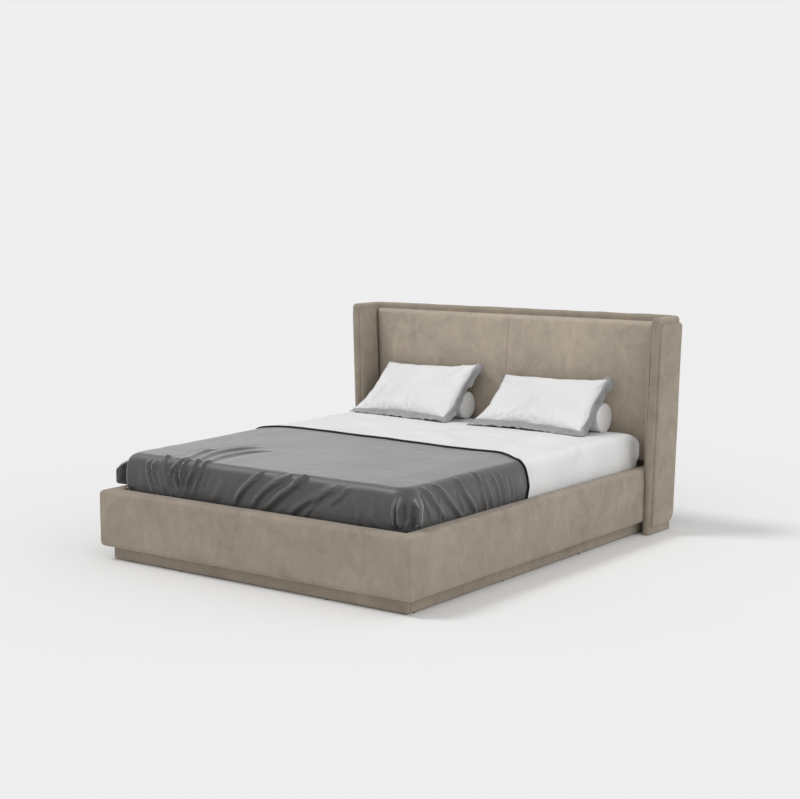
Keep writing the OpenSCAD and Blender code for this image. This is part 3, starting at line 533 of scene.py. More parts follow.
# %% Plain weaves
def make_cloth(name, colour, per_metre, roughness):
    material, shader = finish(name, Roughness=roughness, Sheen_Weight=0.2, Sheen_Roughness=0.5,
                              Specular_IOR_Level=0.2)
    where = coords(material)
    across, along = (node(material, "TexWave", {"Vector": where, "Scale": per_metre / 3.1416, "Distortion": 1.2,
                                                "Detail": 2.0}, bands_direction=way).outputs["Fac"] for way in "XY")
    threads = node(material, "Math", {0: across, 1: along}, operation="ADD").outputs[0]
    cloud = cloudy(material, where, 14.0, 4.0, 0.6)["Fac"]
    link(material, ramp(material, cloud, shades(colour, (0.3, 0.82), (0.7, 1.15))), shader.inputs["Base Color"])
    bump(material, shader, threads, 0.0005, 0.4)
    return material


lining = make_cloth("backing_cloth", (0.035, 0.033, 0.032), 500.0, 0.9)
ticking = make_cloth("ticking", (0.72, 0.72, 0.70), 420.0, 0.85)
flange_cloth = make_cloth("grey_flange", (0.33, 0.33, 0.335), 700.0, 0.6)
webbing = make_cloth("webbing", (0.03, 0.03, 0.032), 600.0, 0.75)
print("cloths:", lining.name, ticking.name, flange_cloth.name, webbing.name)

# %% [markdown]
# ### Finishes on the carried-over CAD nodes
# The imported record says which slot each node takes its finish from, so the materials are set by slot. A CAD
# object's mesh is never touched.

# %% Dress the CAD nodes
by_slot = {"velvet": velvet, "timber": timber, "plywood": plywood, "beech": beech, "backing_cloth": lining,
           "ticking": ticking, "white_cotton": cotton, "grey_blanket": bedspread, "grey_flange": flange_cloth,
           "webbing": webbing, **hard}
slot_of = {row["node"]: row["material_slot"] for row in frame["record"]["subparts"]}
for name, piece in nodes.items():
    material = by_slot[slot_of[name]]
    piece.data.materials.clear()
    piece.data.materials.append(material)
print("nodes dressed:", len(slot_of))


def dress(piece, material, body, replaced):
    piece.data.materials.clear()
    piece.data.materials.append(material)
    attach(piece, body)
    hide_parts(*replaced)
    print(piece.name, "faces", len(piece.data.polygons))


# %% [markdown]
# ## Rail covers
# Each rail is a board wrapped in foam and velvet: a rounded section that runs straight along the bed and
# meets its neighbour in a mitre at the foot. A section that runs along a line is best made by extrusion: one
# face with the section's outline is extruded again and again, and the mitre is a shift of each point along
# the rail by its place in the section.

# %% Measures of the rails
rail_low, rail_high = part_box("rail_cover_right")
board_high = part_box("rail_board_right")[1]
shell_low, shell_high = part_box("wing_shell_right")
RAIL_ROUND = 0.022
LIP_ROUND = 0.006
STEP = 0.022
LEAN = math.tan(math.radians(1.7))
ROLL = 0.0205
WING_IN = shell_low.x - shell_low.z * LEAN
SEAM, HAIR = 0.0006, 0.0003
HANDS = ((1, "right"), (-1, "left"))
rail_section = []


def corner(middle, radius, start, steps=6):
    """Takes the section a quarter turn round a middle."""
    for i in range(steps + 1):
        angle = math.radians(start + 90 * i / steps)
        rail_section.append((middle[0] + radius * math.cos(angle), middle[1] + radius * math.sin(angle)))


def straight(end):
    """Adds the points between the section's last one and the end."""
    begin = rail_section[-1]
    count = max(1, round(math.dist(begin, end) / STEP))
    for i in range(1, count):
        rail_section.append(tuple(begin[k] + (end[k] - begin[k]) * i / count for k in (0, 1)))


# Each point is (distance from the bed's middle, height). The section runs from the board's foot outwards, up
# the outside, over the top to the lip, and back along the board.
inner, outer = rail_low.x, rail_high.x
top, bottom = rail_high.z, rail_low.z
rail_section.append((board_high.x, bottom))
straight((outer - RAIL_ROUND, bottom))
corner((outer - RAIL_ROUND, bottom + RAIL_ROUND), RAIL_ROUND, -90)
straight((outer, top - RAIL_ROUND))
corner((outer - RAIL_ROUND, top - RAIL_ROUND), RAIL_ROUND, 0)
straight((inner + LIP_ROUND, top))
corner((inner + LIP_ROUND, top - LIP_ROUND), LIP_ROUND, 90, steps=3)
rail_section.append((inner, board_high.z))
straight((board_high.x, board_high.z))
rail_section.append((board_high.x, board_high.z))
straight((board_high.x, bottom))
print("points in the rail's section:", len(rail_section))


# %% Extrude a cover along its rail
def cover(name, shares, begin, finish_at, place):
    """Extrudes the section once for each share of the way, then place(across, up, along) puts each point.
    begin and finish_at give where a point of the section starts and ends along the rail."""
    bare()
    bpy.ops.mesh.primitive_circle_add(vertices=len(rail_section), radius=1, fill_type="NGON")
    piece = named(name)
    apply_place(piece)
    put(piece, [(a, 0, u) for a, u in rail_section])
    count = len(shares) - 1
    edit_all(piece)
    for i in range(count):
        bpy.ops.mesh.extrude_region_move(TRANSFORM_OT_translate={"value": (0, 1 / count, 0)})
    object_mode()
    placed = []
    for a, t, u in points(piece):
        along = begin(a) + (finish_at(a) - begin(a)) * shares[round(t * count)]
        placed.append(place(a, u, along))
    put(piece, placed)
    outwards(piece)
    return piece


HEAD_Y, FOOT_Y, NOSE_Y = rail_high.y, rail_low.y, shell_low.y
behind = [NOSE_Y + d for d in (-0.0015, 0.0005, 0.002, 0.004, 0.007, 0.012, 0.020)]
stops = [FOOT_Y] + spaced(FOOT_Y, behind[0], STEP) + behind + spaced(behind[-1], HEAD_Y, STEP) + [HEAD_Y]
side_shares = [(y - FOOT_Y) / (HEAD_Y - FOOT_Y) for y in stops]
foot_shares = [i / 80 for i in range(81)]


def inside_wing(a, u, y):
    """Keeps the rail's outside clear of the round nose and of the inner face of the wing."""
    past_nose = y - NOSE_Y
    if past_nose <= 0:
        return a
    middle = WING_IN + u * LEAN + ROLL
    reach = math.sqrt(max(0, ROLL ** 2 - (ROLL - min(past_nose, ROLL)) ** 2))
    return min(a, middle - reach - SEAM)


rail_covers = []
for side, hand in HANDS:
    piece = cover("velvet_rail_" + hand, side_shares, lambda a: FOOT_Y + outer - a + SEAM, lambda a: HEAD_Y,
                  lambda a, u, y: (side * inside_wing(a, u, y), y, u))
    rail_covers.append(piece)
rail_covers.append(cover("velvet_rail_foot", foot_shares, lambda a: -a + SEAM, lambda a: a - SEAM,
                         lambda a, u, x: (x, FOOT_Y + outer - a, u)))
print([piece.name for piece in rail_covers])

# %% Puff the foam a little and dress the covers
for number, piece in enumerate(rail_covers):
    ripple(piece, 0.0016, 0.30, number + 1)
    ripple(piece, 0.0007, 0.07, number + 11)
    soften(piece, 60)
    dress(piece, velvet, "base", [piece.name.replace("velvet_rail_", "rail_cover_")])

# %% [markdown]
# ## Plinth
# The plinth is a board wrapped in the same velvet, set back under the rails. A block with bevelled edges is
# enough of a start, and slices along it let the cloth follow a slightly uneven line.

# %% Plinth
EDGE_ROUND = 0.004
for number, (side, axis) in enumerate((("left", "Y"), ("right", "Y"), ("foot", "X"))):
    low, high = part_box("plinth_" + side)
    piece = block("velvet_plinth_" + side, low, high)
    round_edges(piece, lambda a, b: True, EDGE_ROUND, 3)
    index = "XYZ".index(axis)
    slices(piece, axis, spaced(low[index], high[index], 0.03))
    slices(piece, "Z", spaced(low.z, high.z, 0.015))
    ripple(piece, 0.0008, 0.12, 30 + number)
    soften(piece, 60)
    dress(piece, velvet, "base", ["plinth_" + side])

# %% [markdown]
# ## Headboard frame
# The wings and the back are boards wrapped in foam and velvet, with a full round edge like a bolster. A slab
# is made the way a joiner would: a block, its corners rounded in the side view, then all its outer edges
# rolled by almost half its thickness. The wings lean outwards a little, which is a shift of each point by its
# height.

# %% Measures of the headboard
back_low, back_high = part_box("headboard_shell")
SHELL = 0.043
HEAD_TOP = shell_high.z
TOP_ROUND, LOW_ROUND = 0.024, 0.055
NEAR = 1e-4
print("wing's inner face at the floor:", round(WING_IN, 4), "top:", round(HEAD_TOP, 3))


def lean_out(piece, side):
    co = points(piece)
    co[:, 0] = side * (co[:, 0] + WING_IN + co[:, 2] * LEAN)
    put(piece, co)
    outwards(piece)


def slab(name, low, high, roll):
    """An upright slab whose corners are rounded in the side view and whose edges are rolled."""
    piece = block(name, low, high)

    def across(a, b):
        return abs(a.x - b.x) > NEAR

    round_edges(piece, lambda a, b: across(a, b) and a.z > high[2] - NEAR, TOP_ROUND, 6)
    round_edges(piece, lambda a, b: across(a, b) and a.z < low[2] + NEAR and a.y > high[1] - NEAR, LOW_ROUND, 8)
    round_edges(piece, lambda a, b: not across(a, b) and min(a.x - low[0], high[0] - a.x) < NEAR, roll, 7)
    return piece


# %% Wings
wing_front, wing_back = shell_low.y, shell_high.y
for side, hand in HANDS:
    piece = slab("velvet_wing_" + hand, (0, wing_front, -0.04), (SHELL, wing_back, HEAD_TOP), ROLL)
    cut_flat(piece, (0, 0, shell_low.z), (0, 0, 1))
    slices(piece, "Z", spaced(shell_low.z, HEAD_TOP, STEP))
    slices(piece, "Y", spaced(wing_front + 0.03, wing_back - 0.03, STEP))
    lean_out(piece, side)
    ripple(piece, 0.0016, 0.16, 40 + side)
    ripple(piece, 0.0005, 0.05, 44 + side)
    soften(piece, 60)
    dress(piece, velvet, "base", ["wing_shell_" + hand])

# %% [markdown]
# The back runs between the wings. Its top edge shows above the pad as a soft, slightly wavy roll.

# %% Back of the headboard
half_back = WING_IN + HEAD_TOP * LEAN - HAIR
piece = block("velvet_back", (-half_back, back_low.y, back_low.z), (half_back, back_high.y, back_high.z))
round_edges(piece, lambda a, b: min(a.z, b.z) > back_high.z - NEAR and abs(a.x - b.x) > 0.1, ROLL, 7)
slices(piece, "X", spaced(-half_back, half_back, 0.024))
slices(piece, "Z", spaced(back_low.z, back_high.z - ROLL, 0.026))
co = points(piece)
co[:, 0] += co[:, 0] / half_back * (co[:, 2] - HEAD_TOP) * LEAN
put(piece, co)
ripple(piece, 0.0022, 0.13, 50)
ripple(piece, 0.0006, 0.04, 51)
soften(piece, 60)
dress(piece, velvet, "base", ["headboard_shell"])

# %% [markdown]
# ## Crowned pads of the headboard
# The back pad and the pads inside the wings are foam under stretched velvet: thick in the middle, thin and
# round at the rim. A grid is laid over the pad's face, each point is raised by the crown, and the open border
# is extruded back to the board and closed, so that the pad is a closed cushion with a flat back.

# %% Lay a grid over a pad's face
RIM_ROWS = 7


def crowded(count, edge):
    """Shares from 0 to 1 that are close together near both ends, where the rim is round."""
    ends = [edge * (1 - math.cos(math.pi / 2 * i / RIM_ROWS)) for i in range(RIM_ROWS)]
    middle = [edge + (1 - 2 * edge) * i / count for i in range(count + 1)]
    return ends + middle + [1 - v for v in reversed(ends)]


def pad(name, us, ws, face, flat_axis, flat_at):
    """face(u, w) gives the points of the pad's face; the border is drawn back to flat_at on flat_axis."""
    piece, column, row = grid(name, len(us) - 1, len(ws) - 1)
    put(piece, face(np.array(us)[column], np.array(ws)[row]))
    pick_border(piece)
    bpy.ops.mesh.extrude_region_move()
    flat, middle = [1, 1, 1], [0, 0, 0]
    flat["XYZ".index(flat_axis)] = 0
    middle["XYZ".index(flat_axis)] = flat_at
    bpy.ops.transform.resize(value=flat, center_override=middle)
    bpy.ops.mesh.edge_face_add()
    object_mode()
    outwards(piece)
    return piece


def rim_rise(share, edge):
    """The round rim: from 0 at both ends of the share to 1 at edge and beyond."""
    near = np.minimum(share, 1 - share)
    return np.where(near >= edge, 1.0, np.sqrt(np.maximum(0, 1 - (1 - np.minimum(near, edge) / edge) ** 2)))


def crown(share):
    return 1 - (2 * share - 1) ** 2


print("helpers for pads are ready")

# %% Back pad
pad_low, pad_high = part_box("headboard_pad")
PAD_T, CROWN, EDGE_T = 0.032, 0.052, 0.004
pad_back = pad_high.y


def back_face(u, w):
    """The crowned face, with its seam in the middle, the valley along it and the puckers that it draws."""
    z = pad_low.z + w * (pad_high.z - pad_low.z)
    half = WING_IN + z * LEAN - SEAM
    x = (2 * u - 1) * half
    top_rim = rim_rise(w, 0.030)
    rise = rim_rise(u, 0.028) * top_rim
    wander = 0.0015 * np.sin(z * 9)
    valley = bell(x, wander, 0.022)
    depth = EDGE_T + (PAD_T - EDGE_T) * rise + CROWN * crown(u) * crown(w) ** 0.35 * top_rim
    depth -= 0.0045 * bell(x, wander, 0.0035) + 0.0035 * valley
    depth += valley * 0.0022 * np.sin(z * 230 + 1.8 * np.sin(z * 37)) * (z > 0.4)
    return np.stack([x, pad_back - depth, z], 1)


beside_seam = (-0.006, -0.004, -0.0028, -0.0018, -0.0009, 0, 0.0009, 0.0018, 0.0028, 0.004, 0.006)
us = sorted(set(crowded(120, 0.03) + [0.5 + d for d in beside_seam]))
piece = pad("velvet_back_pad", us, crowded(60, 0.035), back_face, "Y", pad_back)
co = points(piece)
face_on = co[:, 1] < pad_back - 1e-5
swell = waves(co, 0.20, 61) * 0.0026 + waves(co, 0.07, 62) * 0.0009
co[:, 1] -= np.where(face_on, np.maximum(swell, -0.003), 0)
put(piece, co)
soften(piece, 50)
# The back pad takes the paler copy of the velvet, which is painted light.
dress(piece, pad_velvet_painted_light, "base", ["headboard_pad"])

# %% Pads inside the wings
inner_low, inner_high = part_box("wing_inner_pad_right")
WING_PAD_T, WING_CROWN, WING_RIM = 0.008, 0.024, 0.002


def wing_face(u, w):
    y = inner_low.y + u * (inner_high.y - inner_low.y)
    z = inner_low.z + w * (inner_high.z - inner_low.z)
    rise = rim_rise(u, 0.10) * rim_rise(w, 0.035)
    depth = WING_RIM + (WING_PAD_T - WING_RIM) * rise
    depth = depth + WING_CROWN * crown(u) ** 0.5 * np.sin(math.pi * (1 - w) ** 0.75) ** 1.5
    return np.stack([-HAIR - depth, y, z], 1)


for side, hand in HANDS:
    piece = pad("velvet_wing_pad_" + hand, crowded(14, 0.10), crowded(52, 0.035), wing_face, "X", -HAIR)
    co = points(piece)
    face_on = co[:, 0] < -HAIR - NEAR
    co[:, 0] -= np.where(face_on, waves(co, 0.09, 66 + side) * 0.0012, 0)
    put(piece, co)
    lean_out(piece, side)
    soften(piece, 50)
    dress(piece, velvet, "base", ["wing_inner_pad_" + hand])

# %% [markdown]
# ## Flat pads on the outside of the wings
# A thin upholstered panel is planted on each wing, with a round edge that throws a dark line round it. It is
# the same slab as the wing, cut flat where it lies on the wing.

# %% Outer wing pads
side_low, side_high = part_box("wing_side_pad_right")
SIDE_T = 0.012
for side, hand in HANDS:
    piece = slab("velvet_side_pad_" + hand, (SHELL - 2 * SIDE_T, side_low.y, side_low.z),
                 (SHELL + SIDE_T, side_high.y, side_high.z), SIDE_T - 0.001)
    cut_flat(piece, (SHELL + HAIR, 0, 0), (1, 0, 0))
    slices(piece, "Z", spaced(side_low.z + 0.02, side_high.z - 0.02, STEP))
    slices(piece, "Y", spaced(side_low.y + 0.02, side_high.y - 0.02, STEP))
    co = points(piece)
    on_face = np.clip((co[:, 0] - SHELL - 0.001) / 0.01, 0, 1)
    co[:, 0] += on_face * (waves(co, 0.14, 70 + side) * 0.0012 - 0.0006)
    put(piece, co)
    lean_out(piece, side)
    soften(piece, 55)
    dress(piece, velvet, "base", ["wing_side_pad_" + hand])

# %% [markdown]
# ## Lining cloth behind the headboard
# A thin dark cloth closes the back. It is a sheet, stretched and stapled along its edge, so it is a grid with
# a slight sag between the staples and the thickness of cloth.

# %% Lining cloth
lining_low, lining_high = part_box("back_panel")
lining_w, lining_h = lining_high.x - lining_low.x, lining_high.z - lining_low.z
STAPLES, LINING_T = 0.06, 0.0008
piece = grid("lining_back", 110, 60)[0]
u, w, _ = (points(piece) + 0.5).T
z = lining_low.z + w * lining_h
half = lining_high.x - (lining_high.z - z) * LEAN
to_side, to_end = np.minimum(u, 1 - u) * lining_w, np.minimum(w, 1 - w) * lining_h
along_edge = np.where(to_side < to_end, w * lining_h, u * lining_w)
staple = np.abs(np.sin(along_edge * math.pi / STAPLES))
sag = 0.0008 * staple * np.exp(-np.minimum(to_side, to_end) / 0.02)
y = lining_low.y + LINING_T + sag + 0.0006 * (0.5 + waves(np.stack([u * 4, w * 2, u * 0], 1), 0.5, 80))
put(piece, np.stack([(2 * u - 1) * half, y, z], 1))
outwards(piece)
thicken(piece, LINING_T)
soften(piece, 60)
dress(piece, lining, "base", ["back_panel"])

# %% [markdown]
# ## Measures of the bed linen
# The linen follows the mattress: its plan has round corners, its edges roll over, and the padding lifts it a
# little in the middle. These measures are shared by the mattress, the sheet and the bedspread.

# %% Measures of the linen
sheet_low, sheet_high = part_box("sheet")
blanket_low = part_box("blanket")[0]
PLAN_ROUND, EDGE_ROLL = 0.083, 0.041
half_w = sheet_high.x
foot_line, head_line = sheet_low.y, sheet_high.y
LINEN_TOP = sheet_high.z
TOP_HALF, FOOT_RING = half_w - EDGE_ROLL, foot_line + EDGE_ROLL
ROLL_Z, ROLL_LENGTH = LINEN_TOP - EDGE_ROLL, EDGE_ROLL * math.pi / 2


def loft(co):
    """How far the padding lifts the linen at each point: most near the head's left, none under the bolsters."""
    rise = (0.004 + 0.008 * smooth((co[:, 1] + 1.0) / 1.4)) * (1 - 0.8 * smooth((co[:, 0] - 0.58) / 0.22))
    rise += 0.010 * smooth((0.1 - co[:, 0]) / 0.9) * smooth((co[:, 1] + 1.0) / 1.5)
    return rise * (1 - smooth((co[:, 1] - 0.62) / 0.20)) * smooth((co[:, 2] - 0.38) / 0.11)


def along_side(co, out):
    """How far along its own side of the bed each point of a drop is."""
    return np.where(np.abs(out[:, 0]) > np.abs(out[:, 1]), co[:, 1], co[:, 0])


def drop_waves(co, out, per_metre, slant, upward, seed):
    """Noise drawn out upwards, for the small wrinkles of a drop."""
    at = (along_side(co, out) * per_metre + slant * (co[:, 2] - 0.4), co[:, 2] * upward, np.sign(co[:, 0]))
    return waves(np.stack(at, 1), 1.0, seed)


print("linen top at", round(LINEN_TOP, 3))

# %% [markdown]
# ## Mattress
# The mattress is a rounded block. Its border is quilted in diamonds and its faces are tufted, both as shallow
# hollows between lines. It is under the sheet, and shows when the platform is up.

# %% Mattress
mat_low, mat_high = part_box("mattress")
MAT_ROUND, MAT_CORNER = 0.038, 0.080
DIAMOND, TUFTS, HOLLOW = 0.09, 0.16, 0.003
piece = block("mattress_case", mat_low, mat_high)
round_edges(piece, lambda a, b: abs(a.z - b.z) > 0.05, MAT_CORNER, 12)
round_edges(piece, lambda a, b: abs(a.z - b.z) < 1e-5 and min(a.z - mat_low.z, mat_high.z - a.z) < 1e-5,
            MAT_ROUND, 8)
slices(piece, "X", spaced(mat_low.x + MAT_CORNER, mat_high.x - MAT_CORNER, 0.024))
slices(piece, "Y", spaced(mat_low.y + MAT_CORNER, mat_high.y - MAT_CORNER, 0.024))
slices(piece, "Z", spaced(mat_low.z + MAT_ROUND, mat_high.z - MAT_ROUND, 0.011))
co, out = points(piece), normals(piece)
along = along_side(co, out) * math.pi / DIAMOND
height = (co[:, 2] - mat_low.z) / (mat_high.z - mat_low.z)
quilting = np.abs(np.sin(along + height * 4)) * np.abs(np.sin(along - height * 4))
tufting = np.prod(np.abs(np.sin(co[:, :2] * math.pi / TUFTS)) ** 0.4, 1)
upright, level = np.abs(out[:, 2]) < 0.3, np.abs(out[:, 2]) > 0.9
hollow = np.where(upright, HOLLOW * (1 - quilting), 0) + np.where(level, HOLLOW * (1 - tufting), 0)
co -= out * hollow[:, None]
co[:, 2] += loft(co)
put(piece, co)
soften(piece, 45)
dress(piece, ticking, "platform", ["mattress"])

# %% [markdown]
# ## Bed linen: one way to lay a cloth on a mattress
# A cloth on a bed lies flat on top, rolls over the edges and drops down the sides. A grid makes the top, its
# rows drawn in to the round corners of the mattress. Its border is then extruded again and again, one ring at
# a time, and each ring is set on its station: first round the edge, then down the side. Every point keeps
# where it would be if the cloth were unrolled flat, and this flat place becomes the UV map and the paper on
# which the folds are drawn.

# %% Rows and rings
def rows_of(begin, until, step, round_head, bends=16):
    """Left border of the top from foot to head: [(x, y), (outward x, y)], in the plane of the drop."""
    def arc(angle, middle_y, first):
        turned = [math.radians(angle - 90 * k / bends) for k in range(first, bends + 1)]
        return [((PLAN_ROUND - half_w + PLAN_ROUND * math.cos(a), middle_y + PLAN_ROUND * math.sin(a)),
                 (math.cos(a), math.sin(a))) for a in turned]

    start, stop = begin + PLAN_ROUND, until - PLAN_ROUND * round_head
    count = round((stop - start) / step)
    side = [((-half_w, start + (stop - start) * k / count), (-1, 0)) for k in range(1, count + 1)]
    return arc(270, start, 0) + side + (arc(180, stop, 1) if round_head else [])


def stations_to(hem, step, turns=10):
    """[inset from the drop's plane, height, outward part, upward part, length of cloth from the border]"""
    rings = []
    for k in range(1, turns + 1):
        a = math.pi / 2 * (1 - k / turns)
        rings.append((EDGE_ROLL * (1 - math.cos(a)), ROLL_Z + EDGE_ROLL * math.sin(a), math.cos(a), math.sin(a),
                      ROLL_LENGTH * k / turns))
    drop = ROLL_Z - hem
    count = round(drop / step)
    return rings + [(0, ROLL_Z - drop * k / count, 1, 0, ROLL_LENGTH + drop * k / count)
                    for k in range(1, count + 1)]


print("rows and rings are ready")

# %% Lay the cloth
def cut_map(piece, flat):
    """The flat place becomes the UV map, so that the weave follows the cloth."""
    uv = piece.data.uv_layers.active or piece.data.uv_layers.new(name="cut")
    corner_points = np.empty(len(piece.data.loops), int)
    piece.data.loops.foreach_get("vertex_index", corner_points)
    uv.data.foreach_set("uv", flat[corner_points][:, :2].ravel())


def lay(name, rows, shares, rings, closed, lift):
    """Grid for the top, its border extruded ring by ring. shares: the columns' places in the half width, from -1
    to 1. closed: it hangs down at the head too. Returns the piece and each point's flat place."""
    piece, column, row = grid(name, len(shares) - 1, len(rows) - 1)
    place, way = (np.array([r[k] for r in rows])[row] for k in (0, 1))
    side = np.where(column == 0, 1.0, np.where(column == len(shares) - 1, -1.0, 0.0))
    x = (place[:, 0] - way[:, 0] * EDGE_ROLL) * -np.array(shares)[column]
    y = place[:, 1] - way[:, 1] * EDGE_ROLL
    put(piece, np.stack([x, y, np.full(len(x), LINEN_TOP + lift)], 1))
    outward = np.stack([way[:, 0] * side, way[:, 1], x * 0], 1)
    outward[(side == 0) & (row == 0)] = (0, -1, 0)
    if closed:
        outward[(side == 0) & (row == len(rows) - 1)] = (0, 1, 0)
    note(piece, "flat", np.stack([x, y, x * 0], 1))
    note(piece, "way", outward)
    counts, head_y = [len(x)], y.max()
    pick_border(piece)
    mesh = bmesh.from_edit_mesh(piece.data)
    for edge in mesh.edges:
        if not closed and edge.select and all(v.co.y > head_y - 1e-6 for v in edge.verts):
            edge.select_set(False)
    bmesh.update_edit_mesh(piece.data)
    for ring in rings:
        bpy.ops.mesh.extrude_edges_move(TRANSFORM_OT_translate={"value": (0, 0, -0.001)})
        counts.append(len(bmesh.from_edit_mesh(piece.data).verts))
    object_mode()
    co, flat, way = points(piece), noted(piece, "flat")[:, :2], noted(piece, "way")[:, :2]
    for (inset, height, away, up, length), first, last in zip(rings, counts, counts[1:]):
        co[first:last, :2] = flat[first:last] + way[first:last] * (EDGE_ROLL - inset + lift * away)
        co[first:last, 2] = height + lift * up
        flat[first:last] += way[first:last] * length
    put(piece, co)
    for key in ("flat", "way"):
        piece.data.attributes.remove(piece.data.attributes[key])
    cut_map(piece, flat)
    outwards(piece)
    print(name, "points", len(co))
    return piece, flat


# %% [markdown]
# ### Folds
# A fold is a long low ridge with a hollow beside it. Each is drawn on the flat cloth as a line of a few
# points, and the cloth is raised near that line and lowered next to it, more in the middle of the line than
# at its ends. On the drop the same ridge runs down the side, because the flat cloth rolls over the edge.

# %% Draw folds on a cloth
LINE_POINTS = 28


def smooth_line(route):
    """A curve through the points of a route."""
    route = np.array(route, float)
    on_line = []
    for s in np.linspace(0, len(route) - 1, LINE_POINTS):
        i = min(int(s), len(route) - 2)
        t = s - i
        p0, p1, p2, p3 = route[max(i - 1, 0)], route[i], route[i + 1], route[min(i + 2, len(route) - 1)]
        on_line.append(0.5 * (2 * p1 + (p2 - p0) * t + (2 * p0 - 5 * p1 + 4 * p2 - p3) * t * t
                              + (3 * p1 - p0 - 3 * p2 + p3) * t ** 3))
    return np.array(on_line)


def fold(flat, route, width, height, side, hollow=0.5, spread=None):
    """Height of one ridge at every flat place. The hollow lies on the given side of the line, and a slighter one
    on the other. Where spread is more than 1, the ridge is that many times wider and lower."""
    line = smooth_line(route)
    reach = 4.5 * width * (1 if spread is None else 2)
    box = ((flat > line.min(0) - reach) & (flat < line.max(0) + reach)).all(1)
    result = np.zeros(len(flat))
    near = flat[box]
    if not len(near):
        return result
    a, b = line[:-1], line[1:]
    d = b - a
    rel = near[:, None, :] - a[None]
    t = np.clip((rel * d).sum(2) / (d * d).sum(1), 0, 1)
    gap = rel - t[..., None] * d
    dist = np.hypot(gap[..., 0], gap[..., 1])
    best = dist.argmin(1)
    nearest = np.arange(len(near)), best
    cross = d[best, 0] * gap[nearest][:, 1] - d[best, 1] * gap[nearest][:, 0]
    wider = 1 if spread is None else spread[box]
    signed = np.where(cross >= 0, dist[nearest], -dist[nearest]) * side / (width * wider)
    share = (best + t[nearest]) / (len(line) - 1)
    strength = smooth(np.clip(share / 0.15, 0, 1) * np.clip((1 - share) / 0.25, 0, 1))
    ridge = bell(signed, 0, 1) - hollow * bell(signed, 1.7, 0.9) - 0.4 * hollow * bell(signed, -1.9, 1.0)
    result[box] = ridge * strength * height / wider
    return result


def raised(flat, folds, wider=1.0, higher=1.0, **how):
    """Height of many folds together. Each is a route, a width, a height and the side of its hollow."""
    return sum(fold(flat, route, width * wider, height * higher, hand, **how)
               for route, width, height, hand in folds)


print("folds are ready")

# %% [markdown]
# ## Sheet
# A white cotton sheet is drawn over the mattress and tucked down all four sides. Between the bedspread and
# the pillows it has long soft folds, and fine upright wrinkles where it is pulled down at the sides. Its two
# corners at the head are folded like a parcel, so they are squarer than the mattress in them, and the right one
# keeps a pleat that stands off.

# %% Sheet
SQUARENESS = 12
PLEAT_Y, PLEAT_OUT = 0.950, 0.014


def spread_edge(x):
    """Head edge of the bedspread that lies on the sheet, drawn askew by hand, from its left to its right hem."""
    return np.interp(x, (-0.96, -0.82, -0.77, -0.75, -0.72, -0.66, -0.58, -0.05, 0.14,
                         0.33, 0.50, 0.60, 0.64, 0.69, 0.76, 0.80, 0.90, 0.96),
                     (-0.160, -0.150, -0.115, -0.075, -0.042, -0.024, -0.018, -0.014, -0.035,
                      -0.053, -0.050, -0.040, -0.044, -0.072, -0.125, -0.130, -0.100, -0.112))


piece, flat = lay("cotton_sheet", rows_of(foot_line, head_line, 0.0125, True), np.linspace(-1, 1, 121),
                  stations_to(sheet_low.z, 0.010), True, 0.0)
co = points(piece)
past = np.stack([np.abs(co[:, 0]) - half_w + PLAN_ROUND, co[:, 1] - head_line + PLAN_ROUND], 1)
reach = np.maximum(np.hypot(*past.T), 1e-6)
squarer = ((np.abs(past) / reach[:, None]) ** SQUARENESS).sum(1) ** (-1 / SQUARENESS)
grown = np.where((past > 0).all(1), (squarer - 1) * np.clip(reach / PLAN_ROUND, 0, 1) ** 2, 0)
co[:, 0] += np.sign(co[:, 0]) * past[:, 0] * grown
co[:, 1] += past[:, 1] * grown
put(piece, co)
out = normals(piece)
sheet_folds = [
    ([(-0.80, 0.44), (-0.44, 0.36), (-0.11, 0.25), (0.16, 0.25)], 0.034, 0.0060, 1),
    ([(-0.62, 0.27), (-0.23, 0.14), (0.24, 0.06)], 0.030, 0.0050, -1),
    ([(-0.60, 0.47), (-0.25, 0.42), (0.02, 0.46)], 0.030, 0.0050, 1),
    ([(0.10, 0.37), (0.415, 0.28), (0.62, 0.12)], 0.034, 0.0050, -1),
    ([(0.45, 0.50), (0.68, 0.44), (0.84, 0.30)], 0.030, 0.0050, 1),
    ([(-0.30, 0.24), (0.05, 0.16), (0.42, 0.17)], 0.026, 0.0040, 1),
    ([(0.30, 0.44), (0.52, 0.38), (0.74, 0.36)], 0.022, 0.0035, -1),
    ([(-0.78, 0.33), (-0.60, 0.24), (-0.46, 0.06)], 0.026, 0.0045, 1),
    ([(-0.10, 0.52), (0.10, 0.40), (0.34, 0.36)], 0.024, 0.0035, -1),
]
lift = raised(flat, sheet_folds, higher=1.7)
drop = np.clip((LINEN_TOP - 0.012 - co[:, 2]) / 0.05, 0, 1)
lift += drop * (drop_waves(co, out, 17, 6, 2.2, 90) * 0.0036 + drop_waves(co, out, 26, 5, 3, 91) * 0.0034)
lift += waves(co, 0.16, 92) * 0.0022 + waves(co, 0.045, 93) * 0.0008
past_edge = np.clip(co[:, 1] - spread_edge(flat[:, 0]) + 0.012, 0, 1)
lift = np.clip(lift, -0.0022, np.minimum(-0.0005 + 0.3 * past_edge, 0.012))
co += out * lift[:, None]
pleat_high = smooth((co[:, 2] - 0.335) / 0.050) * smooth((0.482 - co[:, 2]) / 0.040)
pleat = bell(co[:, 1], PLEAT_Y, 0.012) * pleat_high
co[:, 0] += PLEAT_OUT * pleat * smooth((co[:, 0] - 0.785) / 0.014)
co[:, 2] += loft(co)
put(piece, co)
thicken(piece, 0.0012, -1)
soften(piece, 60)
dress(piece, cotton, "platform", ["sheet"])

